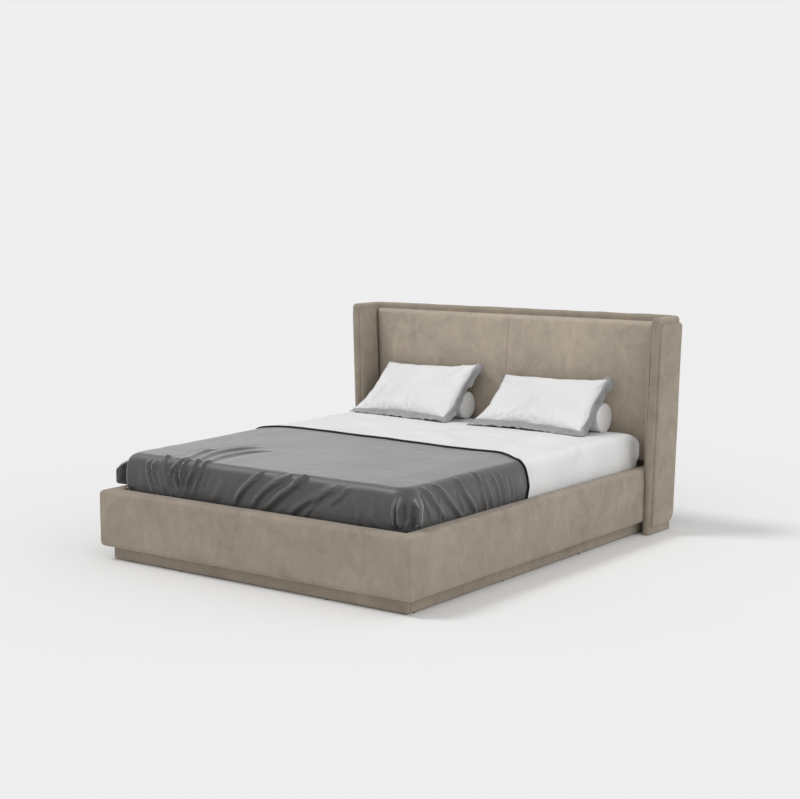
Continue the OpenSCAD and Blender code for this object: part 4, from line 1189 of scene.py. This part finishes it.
# %% [markdown]
# ## Bedspread
# The grey bedspread is laid over the foot half of the bed, tucked in at the foot and hanging down the sides.
# Its folds are the most eye-catching thing on the bed: a fan that gathers at the foot rail, a few slanting
# ones beside it, a pinched corner and a row of upright ones along the side.

# %% Lay the bedspread
GAP = 0.0040
columns_at = [-TOP_HALF]
for until, step in ((-0.700, 0.009), (-0.270, 0.0058), (-0.120, 0.011), (0.560, 0.0082), (TOP_HALF, 0.0095)):
    columns_at += spaced(columns_at[-1], until, step) + [until]
piece, flat = lay("grey_bedspread", rows_of(foot_line, HEAD_EDGE, 0.0074, False, bends=32),
                  [x / TOP_HALF for x in columns_at], stations_to(blanket_low.z, 0.0074, turns=9), False, GAP)
print("head edge", round(HEAD_EDGE, 4))

# %% [markdown]
# Each fold is a route of points on the unrolled cloth, its width, its height and the side of its hollow.

# %% Fan at the foot and slanting folds, on the unrolled cloth
fan = [
    ([(-0.660, -1.020), (-0.652, -1.057), (-0.646, -1.092), (-0.630, -1.132), (-0.606, -1.182)], 0.0075, 0.0080, 1),
    ([(-0.620, -1.025), (-0.618, -1.056), (-0.610, -1.088), (-0.594, -1.134), (-0.564, -1.182)], 0.0070, 0.0085, 1),
    ([(-0.575, -0.960), (-0.556, -1.005), (-0.544, -1.032), (-0.530, -1.075), (-0.508, -1.130), (-0.476, -1.184)],
     0.0075, 0.0115, 1),
    ([(-0.540, -0.720), (-0.530, -0.780), (-0.510, -0.850), (-0.484, -0.915), (-0.453, -0.986), (-0.464, -1.021),
      (-0.494, -1.044), (-0.512, -1.074), (-0.512, -1.100)], 0.0070, 0.0095, 1),
    ([(-0.480, -1.028), (-0.470, -1.052), (-0.468, -1.096), (-0.452, -1.141), (-0.434, -1.182)], 0.0065, 0.0100, 1),
    ([(-0.530, -0.690), (-0.515, -0.770), (-0.470, -0.890), (-0.424, -0.996), (-0.430, -1.027), (-0.438, -1.054),
      (-0.434, -1.099), (-0.428, -1.138), (-0.424, -1.184)], 0.0070, 0.0110, 1),
    ([(-0.380, -0.520), (-0.412, -0.608), (-0.440, -0.700), (-0.442, -0.780), (-0.425, -0.870), (-0.388, -0.950),
      (-0.362, -1.008), (-0.368, -1.042), (-0.392, -1.082), (-0.412, -1.126), (-0.424, -1.182)], 0.0080, 0.0135, -1),
    ([(-0.270, -0.560), (-0.318, -0.660), (-0.340, -0.740), (-0.345, -0.820), (-0.335, -0.905), (-0.312, -0.985),
      (-0.316, -1.024), (-0.330, -1.066), (-0.356, -1.112), (-0.380, -1.165)], 0.0085, 0.0115, -1),
    ([(-0.288, -1.000), (-0.286, -1.028), (-0.300, -1.070), (-0.322, -1.110)], 0.0080, 0.0060, -1),
]
slanting = [
    ([(0.036, -1.004), (0.026, -1.018), (0.004, -1.034), (-0.040, -1.066), (-0.088, -1.112), (-0.140, -1.182)],
     0.0105, 0.0135, 1),
    ([(0.200, -1.008), (0.180, -1.015), (0.152, -1.028), (0.090, -1.058), (0.022, -1.111), (-0.036, -1.180)],
     0.0105, 0.0120, 1),
    ([(0.285, -1.002), (0.262, -1.018), (0.212, -1.060), (0.126, -1.110), (0.036, -1.172)], 0.0115, 0.0120, 1),
    ([(0.290, -0.998), (0.256, -1.020), (0.238, -1.033), (0.200, -1.051), (0.154, -1.081), (0.090, -1.130)],
     0.0100, 0.0110, 1),
    ([(0.440, -1.030), (0.412, -1.044), (0.336, -1.080), (0.284, -1.105), (0.228, -1.142), (0.176, -1.182)],
     0.0110, 0.0095, 1),
    ([(0.380, -1.066), (0.362, -1.084), (0.324, -1.114), (0.296, -1.144), (0.264, -1.184)], 0.0080, 0.0060, 1),
    ([(0.520, -1.024), (0.494, -1.042), (0.456, -1.075), (0.412, -1.100)], 0.0075, 0.0065, 1),
    ([(0.548, -1.050), (0.558, -1.072), (0.574, -1.098), (0.568, -1.136), (0.578, -1.178)], 0.0110, 0.0050, -1),
    ([(0.640, -1.040), (0.652, -1.090), (0.640, -1.130), (0.660, -1.178)], 0.0120, 0.0045, 1),
    ([(-0.180, -1.060), (-0.215, -1.110), (-0.250, -1.165)], 0.0140, 0.0035, -1),
]
print("folds at the foot:", len(fan) + len(slanting))

# %% Folds along the sides
side_lines = [
    ([(0.799, -0.957), (0.842, -0.947), (0.880, -0.939), (0.914, -0.935), (0.955, -0.921)], 0.0090, 0.0100),
    ([(0.800, -0.942), (0.822, -0.925), (0.863, -0.889), (0.896, -0.866), (0.935, -0.852)], 0.0080, 0.0090),
    ([(0.796, -0.895), (0.820, -0.866), (0.861, -0.824), (0.906, -0.780), (0.950, -0.738)], 0.0090, 0.0115),
    ([(0.784, -0.822), (0.815, -0.780), (0.857, -0.734), (0.904, -0.682), (0.942, -0.636), (0.962, -0.598)],
     0.0095, 0.0120),
    ([(0.785, -0.648), (0.806, -0.640), (0.845, -0.614), (0.892, -0.566), (0.934, -0.528), (0.962, -0.508)],
     0.0095, 0.0115),
    ([(0.776, -0.488), (0.796, -0.494), (0.833, -0.488), (0.880, -0.468), (0.929, -0.444), (0.962, -0.434)],
     0.0085, 0.0095),
    ([(0.835, -0.438), (0.869, -0.420), (0.918, -0.392), (0.960, -0.376)], 0.0080, 0.0070),
    ([(0.805, -0.392), (0.842, -0.364), (0.887, -0.334), (0.930, -0.318), (0.962, -0.312)], 0.0085, 0.0085),
    ([(0.812, -0.320), (0.852, -0.294), (0.894, -0.276), (0.938, -0.268), (0.964, -0.270)], 0.0080, 0.0070),
    ([(0.835, -0.215), (0.875, -0.192), (0.924, -0.176), (0.962, -0.182)], 0.0085, 0.0055),
    ([(0.835, -0.660), (0.861, -0.644), (0.910, -0.620), (0.958, -0.598)], 0.0075, 0.0070),
    ([(0.900, -0.798), (0.930, -0.788), (0.964, -0.780)], 0.0070, 0.0060),
    ([(0.842, -0.796), (0.876, -0.780), (0.908, -0.755)], 0.0070, 0.0060),
]
sides = []
for number, (route, width, height) in enumerate(side_lines):
    sides.append((route, width, height, 1))
    shift = 0.030 * math.sin(number * 2.7)
    sides.append(([(-x, y * 0.96 + shift) for x, y in route], width * 1.1, height * 0.75, -1))
print("folds at the sides:", len(sides))

# %% [markdown]
# The corner at the right foot is pinched: the spare cloth stands off round a hollow, and its hem turns up in a
# thin bright crease. At the left foot the foot drop ends in a sharp crease, behind which the cloth turns in to
# a pocket and out again to a lip that lies on the rail. Both are plan lines, drawn round the corner by angle,
# that the rings of the corner are moved to between the roll and the rail.

# %% Corners
CORNER = (half_w - PLAN_ROUND, foot_line + PLAN_ROUND)
pinched = [
    ([(0.872, -0.990), (0.876, -1.016), (0.882, -1.046), (0.886, -1.082), (0.886, -1.112)], 0.0060, 0.0090, -1),
    ([(0.760, -1.060), (0.775, -1.100), (0.800, -1.135)], 0.0080, 0.0060, 1),
]
square = np.array([(0, 0.7205, -1.0255), (20, 0.752, -1.0255), (38, 0.783, -1.0245), (45, 0.793, -1.018),
                   (54, 0.801, -0.998), (72, 0.8075, -0.966), (90, 0.8075, -0.9385)])
pocket = np.array([(0, 0.7205, -1.0255), (22, 0.752, -1.031), (35, 0.779, -1.036), (41, 0.789, -1.033),
                   (48, 0.791, -0.992), (56, 0.809, -0.946), (63, 0.817, -0.934), (71, 0.848, -0.962),
                   (78, 0.878, -1.004), (82, 0.889, -1.004), (86, 0.889, -0.975), (90, 0.873, -0.9385)])
pinch = np.array([(0, 0.7205, -1.0255), (12, 0.742, -1.029), (20, 0.758, -1.044), (24, 0.764, -1.047),
                  (28, 0.767, -1.036), (31, 0.772, -1.037), (36, 0.788, -1.063), (40, 0.793, -1.063),
                  (44, 0.788, -1.030), (49, 0.784, -1.000), (55, 0.792, -0.989), (61, 0.802, -0.980),
                  (67, 0.826, -0.984), (73, 0.858, -1.000), (78, 0.864, -0.994), (83, 0.852, -0.968),
                  (87, 0.828, -0.950), (90, 0.8075, -0.9385)])
FLARE = pocket[-1][1] - half_w - GAP


def foot_corner(hand):
    """Which points are in a foot corner, which of them hang round it, how far each point lies footward of it, and
    its angle, from 0 at the foot to 90 at the side."""
    away_x, away_y = hand * flat[:, 0] - CORNER[0], CORNER[1] - flat[:, 1]
    inside = (away_x > -1e-6) & (away_y > -1e-6)
    hanging = inside & (np.hypot(away_x, away_y) > PLAN_ROUND - EDGE_ROLL + 0.001)
    return inside, hanging, away_y, np.degrees(np.arctan2(away_x, away_y))


co = points(piece)
in_corner, at_corner, footward, turned = foot_corner(-1)
beside = (flat[:, 0] < -TOP_HALF - 0.001) & (footward < 0)
amount = smooth((0.480 - co[:, 2]) / 0.075) * smooth((co[:, 2] - 0.334) / 0.012)
out_share = np.clip(np.hypot(co[:, 0] + CORNER[0], co[:, 1] - CORNER[1]) / (PLAN_ROUND + GAP), 0, 1) ** 2
ring_x = -CORNER[0] - (PLAN_ROUND + GAP) * np.sin(np.radians(turned))
ring_y = CORNER[1] - (PLAN_ROUND + GAP) * np.cos(np.radians(turned))
for axis, sign, ring_line in ((0, -1, ring_x), (1, 1, ring_y)):
    squared = (sign * np.interp(turned, square[:, 0], square[:, 1 + axis]) - ring_line) * out_share
    line = sign * np.interp(turned, pocket[:, 0], pocket[:, 1 + axis])
    there = co[:, axis] + squared * in_corner
    co[:, axis] = there + (line - there) * amount * at_corner
co[:, 0] -= beside * amount * FLARE * (1 - smooth(-footward / 0.26))
_, on_right, _, turned = foot_corner(1)
pinched_at = on_right * smooth((0.468 - co[:, 2]) / 0.050) * smooth((co[:, 2] - 0.336) / 0.036)
for axis in (0, 1):
    line = np.interp(turned, pinch[:, 0], pinch[:, 1 + axis])
    co[:, axis] += (line - co[:, axis]) * pinched_at
put(piece, co)
print("corner folds:", len(pinched), "points in the pocket:", int((at_corner & (amount > 0.01)).sum()))

# %% [markdown]
# Now the folds are raised along each point's normal. On top of the bed they are wider and lower than on the
# drops, and behind the rail they are held in, because there the cloth is tucked in.

# %% Raise the folds
RAIL_Z = 0.330
co, out = points(piece), normals(piece)
past_foot = smooth((flat[:, 1] - FOOT_RING + 0.030) / 0.045)
on_top = 1 + 0.9 * past_foot * smooth((TOP_HALF + 0.030 - flat[:, 0]) / 0.045)
lift = raised(flat, fan, 1.30, 1.30, hollow=0.75, spread=on_top)
lift += raised(flat, slanting + sides + pinched, 1.25, 1.15, hollow=0.6, spread=on_top)
drop = np.clip((LINEN_TOP - 0.006 - co[:, 2]) / 0.06, 0, 1)
lift += drop * (drop_waves(co, out, 13, 5, 3, 95) * 0.0030 + drop_waves(co, out, 42, -8, 6, 96) * 0.0010)
lift += waves(co, 0.22, 97) * 0.0018 + waves(co, 0.06, 98) * 0.0006
bulge = np.sin(np.clip((LINEN_TOP - co[:, 2]) / (LINEN_TOP - RAIL_Z), 0, 1) * math.pi)
at_fan = bell(flat[:, 0], -0.48, 0.16) * (flat[:, 1] < FOOT_RING)
lift += (0.004 + 0.006 * at_fan) * drop * bulge
lift = np.maximum(lift, -0.0010)
lift *= (1 - 0.6 * amount * at_corner) * (1 - 0.5 * pinched_at)
low = np.clip((RAIL_Z + 0.015 - co[:, 2]) / 0.015, 0, 1)
lift = lift * (1 - low) + np.clip(lift, -0.001, 0.0085) * low
co = co + out * lift[:, None]
print("folds from", round(lift.min(), 4), "to", round(lift.max(), 4))

# %% Pull the head edge askew and finish the bedspread
HEM_RISE = 0.0092
near_edge = np.clip((flat[:, 1] + 0.42) / 0.42, 0, 1) ** 1.5
co[:, 1] += (spread_edge(flat[:, 0]) - HEAD_EDGE) * near_edge
co += out * (bell(flat[:, 1], HEAD_EDGE - 0.003, 0.008) * HEM_RISE)[:, None]
co[:, 2] += loft(co)
put(piece, co)
thicken(piece, 0.0022, -1)
soften(piece, 60)
dress(piece, bedspread, "platform", ["blanket"])

# %% [markdown]
# ## Bolsters
# Two white bolsters lie against the headboard, and the pillows lean on them. A bolster is a tube of cloth
# with a round disc sewn in at each end: the disc bulges a little and the tube puckers along that seam. It is
# made from a cylinder, cut in slices along its length, with rings inset in its ends.

# %% Make a bolster
BULGE = 0.008
END_CUTS = [0.002, 0.005, 0.009]
DISC_RINGS = (0.002, 0.003, 0.005, 0.008, 0.012, 0.014, 0.014)


def make_bolster(side, seed, longer=0.0, fuller=0.0):
    low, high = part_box("bolster_" + side)
    high.x += longer
    radius = (high.z - low.z) / 2 + fuller
    middle = (low + high) / 2
    half = (high.x - low.x) / 2 - BULGE
    bare()
    bpy.ops.mesh.primitive_cylinder_add(vertices=120, radius=radius, depth=2 * half, end_fill_type="NGON",
                                        location=middle, rotation=(0, math.pi / 2, 0))
    piece = named("bolster_roll_" + side)
    apply_place(piece)
    left, right = [middle.x - half + d for d in END_CUTS], [middle.x + half - d for d in reversed(END_CUTS)]
    slices(piece, "X", left + spaced(left[-1], right[0], 0.009) + right)
    for end in (1, -1):
        pick(piece, "FACE", lambda mid, normal: normal.x * end > 0.9)
        for ring in DISC_RINGS:
            bpy.ops.mesh.inset(thickness=ring)
        object_mode()
    co = points(piece)
    spoke = co - np.array([0, middle.y, middle.z])
    spoke[:, 0] = 0
    reach = np.hypot(spoke[:, 1], spoke[:, 2])
    spoke /= np.maximum(reach, 1e-6)[:, None]
    turn = np.arctan2(spoke[:, 2], spoke[:, 1])
    along = co[:, 0] - middle.x
    to_end = half - np.abs(along)
    disc = to_end < 1e-5
    round_off = 0.007 * (1 - np.sqrt(np.clip(1 - (1 - np.clip(to_end / 0.012, 0, 1)) ** 2, 0, 1)))
    puckers = 0.0010 * np.sin(turn * 34 + 2 * np.sin(turn * 5 + seed)) * np.exp(-np.clip(to_end, 0, 1) / 0.016)
    on_drum = np.stack([along * 5, np.cos(turn) * 1.3, np.sin(turn) * 1.3], 1)
    drum = puckers - round_off + waves(on_drum, 1.0, seed) * 0.0035 + waves(on_drum, 0.3, seed + 1) * 0.0012
    co += spoke * np.where(disc, -0.007 * (reach / radius) ** 6, drum)[:, None]
    dome = np.where(disc, BULGE * (1 - (reach / radius) ** 2) + 0.0012 * waves(co, 0.03, seed + 2), 0)
    co[:, 0] += np.sign(along) * dome
    co[:, 2] = np.maximum(co[:, 2], low.z)
    put(piece, co)
    soften(piece, 70)
    dress(piece, cotton, "platform", ["bolster_" + side])
    return middle.y, middle.z, radius, low.x, high.x


bolsters = {"left": make_bolster("left", 41), "right": make_bolster("right", 57, longer=0.028, fuller=0.003)}

# %% [markdown]
# ## Pillows
# Each pillow is a filled case with a white front and a grey back, and a flat grey flange round its seam. The
# filling pushes the two faces apart, and as they round they draw the seam in, so that it puckers. That is what
# cloth simulation is for: a flat case is sewn together from a grid, and blown up for a moment.

# %% Sew a flat case
CASE_W, CASE_L, FLANGE = 0.570, 0.350, 0.042
CELLS, FLANGE_CELLS = (64, 39), 5
SEAM_CLOSE, HALF_GAP = 1e-4, 0.004


def past_seam(x, y):
    """How far a flat place lies beyond the seam of the case. Inside the case it is below zero."""
    return np.maximum(abs(x) - CASE_W / 2, abs(y) - CASE_L / 2)


def sew_case(name, seed):
    """Flat case with its flange: a grid, whose inner faces are doubled for the back and merged at the seam."""
    count = [n + 2 * FLANGE_CELLS for n in CELLS]
    piece, *cells = grid(name, *count)
    co = points(piece)
    for k, size in ((0, CASE_W / 2), (1, CASE_L / 2)):
        co[:, k] = np.interp(cells[k], (0, FLANGE_CELLS, FLANGE_CELLS + CELLS[k], count[k]),
                             (-size - FLANGE, -size, size, size + FLANGE))
    put(piece, co)
    pick(piece, "FACE", lambda mid, normal: past_seam(mid.x, mid.y) < 0)
    bpy.ops.mesh.duplicate()
    bpy.ops.mesh.flip_normals()
    bpy.ops.transform.translate(value=(0, 0, -HALF_GAP))
    object_mode()
    co = points(piece)
    face = np.where(co[:, 2] < -0.001, -1.0, 1.0) * (past_seam(co[:, 0], co[:, 1]) < -SEAM_CLOSE)
    co[:, 2] = face * (HALF_GAP + 0.0015 * waves(co, 0.06, seed))
    put(piece, co)
    note(piece, "flat", np.stack([co[:, 0], co[:, 1], face], 1))
    pick(piece, "EDGE", lambda a, b: all(abs(past_seam(p.x, p.y)) < SEAM_CLOSE for p in (a, b)))
    bpy.ops.mesh.remove_doubles(threshold=SEAM_CLOSE)
    bpy.ops.transform.edge_crease(value=1.0)
    object_mode()
    co = points(piece)
    inside = past_seam(co[:, 0], co[:, 1]) < SEAM_CLOSE
    piece.vertex_groups.new(name="filled").add([int(i) for i in np.flatnonzero(inside)], 1.0, "REPLACE")
    print(name, "points", len(co), "in the case", int(inside.sum()))
    return piece


# %% Blow the case up
PRESSURE, FRAMES = 2.0, 18
COTTON_CASE = {"quality": 6, "mass": 0.3, "tension_stiffness": 15, "compression_stiffness": 15,
               "shear_stiffness": 5, "bending_stiffness": 0.5, "tension_damping": 5, "compression_damping": 5,
               "shear_damping": 5, "bending_damping": 0.5, "air_damping": 1.0, "use_pressure": True,
               "uniform_pressure_force": PRESSURE, "vertex_group_pressure": "filled"}


def fill_case(piece):
    only(piece)
    cloth = piece.modifiers.new("cloth", "CLOTH")
    for key, value in COTTON_CASE.items():
        setattr(cloth.settings, key, value)
    cloth.settings.effector_weights.gravity = 0
    cloth.collision_settings.use_collision = False
    cloth.point_cache.frame_start, cloth.point_cache.frame_end = 1, FRAMES
    for number in range(1, FRAMES + 1):
        bpy.context.scene.frame_set(number)
    bpy.ops.object.modifier_apply(modifier=cloth.name)
    bpy.context.scene.frame_set(1)
    print(piece.name, "is", round(float(np.ptp(points(piece)[:, 2])), 3), "m thick")


# %% [markdown]
# ### Laying a pillow down
# The filled case is bent like a real pillow: its low part lies on the sheet, its high part leans on the
# bolster, and one end stands a little higher. The flange is limp and falls back behind the seam, except at the
# corners, where its stitched mitre keeps it up like an ear. What would sink into the sheet or the bolster is
# pushed back to its surface.

# %% Bend the flange and the pillow
SHEET_Z = LINEN_TOP + 0.0034
PAD_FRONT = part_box("headboard_pad")[0].y
PILLOW_L = CASE_L + 2 * FLANGE
EAR = 0.032


def flange_down(co, flat, bends, ears, seed):
    """Bends each side's flange back by its own angle: bends are for left, right, low and high side."""
    seam = np.clip(flat[:, :2], (-CASE_W / 2, -CASE_L / 2), (CASE_W / 2, CASE_L / 2))
    away = flat[:, :2] - seam
    far = np.hypot(away[:, 0], away[:, 1])
    way = away / np.maximum(far, 1e-9)[:, None]
    side = np.where(way[:, 0] < 0, bends[0], bends[1])
    end = np.where(way[:, 1] < 0, bends[2], bends[3])
    share = np.abs(way[:, 0]) / np.maximum(np.abs(way).sum(1), 1e-9)
    angle = side * share + end * (1 - share)
    place = np.stack([flat[:, 0], flat[:, 1], flat[:, 0] * 0], 1)
    crumple = 22 * waves(place, 0.055, seed) + 16 * waves(place, 0.024, seed + 3)
    angle = angle + crumple * np.clip(angle / 60, 0.3, 1)
    for (ex, ey), amount in ears.items():
        near = np.exp(-((flat[:, 0] - ex * CASE_W / 2) ** 2 + (flat[:, 1] - ey * CASE_L / 2) ** 2) / EAR ** 2)
        angle = angle * (1 - near) + amount * near
    angle = np.radians(angle) * smooth(far / 0.016)
    moved = co.copy()
    moved[:, :2] += way * (far * (np.cos(angle) - 1))[:, None]
    moved[:, 2] -= far * np.sin(angle)
    return moved


def lay_pillow(co, centre, low_y, low_z, slopes, twist, turn, sink, against):
    """slopes: angle of the low and of the high part. twist: how much steeper the right end is. sink: how much
    lower each metre to the right lies. against: the bolster that it leans on."""
    steps = np.linspace(0, PILLOW_L, 400)
    angle = np.radians(slopes[0] + (slopes[1] - slopes[0]) * smooth((steps - 0.045) / 0.150))
    run_y, run_z = (np.concatenate([[0], np.cumsum(part(angle[1:]) * np.diff(steps))]) for part in (np.cos, np.sin))
    s = np.clip(co[:, 1] + PILLOW_L / 2, 0, PILLOW_L)
    here = np.interp(s, steps, angle)
    y = np.interp(s, steps, run_y) - co[:, 2] * np.sin(here)
    z = np.interp(s, steps, run_z) + co[:, 2] * np.cos(here)
    extra = np.radians(twist) * co[:, 0] / (CASE_W / 2)
    y, z = y * np.cos(extra) - z * np.sin(extra), y * np.sin(extra) + z * np.cos(extra)
    turn = math.radians(turn)
    x = co[:, 0] * math.cos(turn) - y * math.sin(turn) + centre
    y = co[:, 0] * math.sin(turn) + y * math.cos(turn) + low_y
    z = z + low_z - sink * co[:, 0]
    axis_y, axis_z, radius, end_low, end_high = against
    from_axis = np.hypot(y - axis_y, z - axis_z)
    beside = smooth((x - end_low + 0.022) / 0.022) * smooth((end_high + 0.022 - x) / 0.022)
    push = np.clip(radius + 0.0028 - from_axis, 0, None) * beside / np.maximum(from_axis, 1e-6)
    y, z = y + (y - axis_y) * push, z + (z - axis_z) * push
    y = np.minimum(y, PAD_FRONT - 0.003)
    on_sheet = SHEET_Z + loft(np.stack([x, y, np.full(len(x), LINEN_TOP)], 1))
    return np.stack([x, y, np.maximum(z, on_sheet)], 1)


# %% [markdown]
# ### Wrinkles of the pillows
# On the front, long wrinkles rise from the low seam to the right, where the filling has slid down. They are
# drawn as folds on the flat case, as on the bedspread.

# %% Finish a pillow
def split_flange(piece, name):
    """Separates the flange from the case, as a piece of its own."""
    flat = noted(piece, "flat")
    beyond = past_seam(flat[:, 0], flat[:, 1]) > SEAM_CLOSE
    in_flange = [any(beyond[v] for v in face.vertices) for face in piece.data.polygons]
    pick(piece, "FACE", lambda mid, normal: False)
    object_mode()
    piece.data.polygons.foreach_set("select", in_flange)
    bpy.ops.object.mode_set(mode="EDIT")
    bpy.ops.mesh.separate(type="SELECTED")
    object_mode()
    flange = [o for o in bpy.context.selected_objects if o is not piece][0]
    flange.name = name
    return flange


def make_pillow(side, seed, wrinkle_lines, bends, ears, size, **laid):
    """size: width and length of the filled case between its seams. The rest says how the pillow is laid."""
    case = sew_case("pillow_case_" + side, seed)
    fill_case(case)
    co, flat = points(case), noted(case, "flat")
    on_seam = np.abs(past_seam(flat[:, 0], flat[:, 1])) < SEAM_CLOSE
    drawn_in = np.ptp(co[on_seam, :2], 0)
    co[:, :2] *= size / drawn_in
    put(case, co)
    print("filled case", [round(float(v), 3) for v in drawn_in], "stretched to", size)
    flange = split_flange(case, "pillow_edge_" + side)
    for cloth in (case, flange):
        modify(cloth, "SUBSURF", levels=1, render_levels=1)
        flat, co = noted(cloth, "flat"), points(cloth)
        if cloth is case:
            lift = raised(flat[:, :2], wrinkle_lines, higher=1.5, hollow=0.7)
            lift += waves(co, 0.10, seed + 5) * 0.0030 + waves(co, 0.035, seed + 6) * 0.0010
            lift = np.where(flat[:, 2] > 0, lift, lift * 0.2) * smooth(-past_seam(flat[:, 0], flat[:, 1]) / 0.014)
            co += normals(cloth) * lift[:, None]
            is_back = [sum(flat[v][2] for v in face.vertices) < 0 for face in cloth.data.polygons]
        else:
            co[:, 2] += 0.0016 * waves(co, 0.022, seed + 8)
            co = flange_down(co, flat, bends, ears, seed + 7)
        put(cloth, lay_pillow(co, against=bolsters[side], **laid))
        cut_map(cloth, flat)
        cloth.data.attributes.remove(cloth.data.attributes["flat"])
        cloth.vertex_groups.clear()
    outwards(case)
    thicken(flange, 0.0018)
    soften(case, 75)
    soften(flange, 60)
    dress(case, cotton, "platform", ["pillow_" + side])
    case.data.materials.append(flange_cloth)
    case.data.polygons.foreach_set("material_index", np.array(is_back, np.int32))
    dress(flange, flange_cloth, "platform", ["pillow_flange_" + side])


print("ready to sew and lay the pillows")


# %% Pillow on the left
make_pillow(
    "left", 11,
    [([(-0.229, -0.161), (-0.204, -0.092), (-0.180, -0.003), (-0.160, 0.049)], 0.0095, 0.0052, 1),
     ([(-0.187, -0.163), (-0.164, -0.081), (-0.143, 0.015), (-0.107, 0.089), (-0.074, 0.144)], 0.0090, 0.0050, 1),
     ([(-0.108, -0.160), (-0.102, -0.067), (-0.085, 0.030)], 0.0085, 0.0046, -1),
     ([(-0.072, -0.163), (-0.062, -0.084), (-0.046, -0.033)], 0.0075, 0.0040, 1),
     ([(0.041, -0.149), (0.021, -0.075), (0.023, -0.020)], 0.0075, 0.0036, 1),
     ([(0.077, -0.152), (0.062, -0.085), (0.055, -0.023)], 0.0075, 0.0038, -1),
     ([(0.108, -0.155), (0.093, -0.082), (0.091, -0.034)], 0.0075, 0.0034, 1),
     ([(-0.265, -0.158), (-0.253, -0.098), (-0.250, -0.031)], 0.0085, 0.0036, 1),
     ([(-0.145, -0.157), (-0.133, -0.084), (-0.124, -0.033)], 0.0075, 0.0040, 1),
     ([(0.230, 0.160), (0.200, 0.110), (0.150, 0.060)], 0.0110, 0.0040, 1)],
    bends=(70, 80, 16, 60),
    ears={(1, 1): -14, (-1, -1): -12, (1, -1): 20, (-1, 1): 40}, size=(0.604, 0.396),
    centre=-0.461, low_y=0.612, low_z=SHEET_Z + 0.031, slopes=(20, 44), twist=1.8, turn=-1.2, sink=0)

# %% Pillow on the right
make_pillow(
    "right", 29,
    [([(-0.190, -0.142), (-0.190, -0.099), (-0.183, -0.069)], 0.0085, 0.0045, 1),
     ([(-0.151, -0.148), (-0.136, -0.098), (-0.118, -0.055)], 0.0085, 0.0050, 1),
     ([(-0.116, -0.150), (-0.092, -0.100), (-0.067, -0.055), (-0.047, -0.015)], 0.0090, 0.0054, -1),
     ([(-0.087, -0.150), (-0.062, -0.089), (-0.038, -0.031), (-0.018, 0.020)], 0.0090, 0.0054, 1),
     ([(-0.048, -0.150), (-0.022, -0.090), (0.000, -0.040), (0.024, 0.022)], 0.0095, 0.0050, 1),
     ([(0.037, -0.155), (0.040, -0.110), (0.042, -0.065)], 0.0075, 0.0032, -1),
     ([(0.132, -0.160), (0.124, -0.112), (0.116, -0.075)], 0.0075, 0.0028, 1),
     ([(0.235, 0.090), (0.262, 0.125), (0.280, 0.160)], 0.0100, 0.0040, 1),
     ([(-0.230, -0.140), (-0.229, -0.089), (-0.222, -0.045)], 0.0085, 0.0036, 1),
     ([(-0.270, 0.140), (-0.230, 0.110), (-0.180, 0.100)], 0.0110, 0.0036, -1)],
    bends=(62, 80, 16, 84),
    ears={(1, 1): -12, (-1, -1): -4, (1, -1): 16, (-1, 1): 60}, size=(0.630, 0.360),
    centre=0.328, low_y=0.622, low_z=SHEET_Z + 0.023, slopes=(19, 44), twist=2.4, turn=-0.8, sink=0.020)

# %% [markdown]
# ## Lifting strap
# A strap of black webbing is fixed to the foot tube of the platform, folded once on itself. It is one strip,
# a grid that is bent round its fold, with two rows of stitches that press it in.

# %% Strap
strap_low, strap_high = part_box("pull_strap")
STRAP_T, STRAP_STEP, TURNS = 0.0013, 0.0035, 8
RIB, STITCH = 0.004, 0.006
strap_w = strap_high.x - strap_low.x
back_y, front_y = strap_high.y - STRAP_T / 2, strap_low.y + STRAP_T / 2
fold_z, end_z = strap_low.z + 0.004, strap_high.z - 0.006
strap_path = [(back_y, z) for z in [strap_high.z] + spaced(strap_high.z, fold_z, STRAP_STEP) + [fold_z]]
for k in range(1, TURNS):
    turned = math.pi * k / TURNS
    strap_path.append((back_y + (front_y - back_y) * (1 - math.cos(turned)) / 2, fold_z - 0.0035 * math.sin(turned)))
strap_path += [(front_y, z) for z in [fold_z] + spaced(fold_z, end_z, STRAP_STEP) + [end_z]]
piece, _, station = grid("lifting_strap", 30, len(strap_path) - 1)
path = np.array(strap_path)[station]
across = points(piece)[:, 0] * strap_w
ribs = 0.00012 * np.cos(across * 2 * math.pi / RIB)
front = station > len(strap_path) / 2
stitch = 0.00045 * bell(np.abs(across), strap_w / 2 - STITCH, 0.0015)
put(piece, np.stack([across, path[:, 0] + np.where(front, ribs + stitch, -ribs), path[:, 1]], 1))
thicken(piece, STRAP_T)
outwards(piece)
soften(piece, 50)
dress(piece, webbing, "platform", ["pull_strap"])

# %% [markdown]
# ## Floor
# The floor is a wide pale plane that keeps the bed's shadow. Its colour is set so that, under this light, it
# meets the backdrop's tone at the horizon without a line.

# %% Floor
FLOOR = (0.845, 0.845, 0.845)
bare()
bpy.ops.mesh.primitive_plane_add(size=400, location=(0, 0, 0))
floor = named("floor")
floor.data.materials.append(finish("pale_floor", Base_Color=FLOOR, Roughness=1.0, Specular_IOR_Level=0.0)[0])
print("floor albedo", FLOOR)
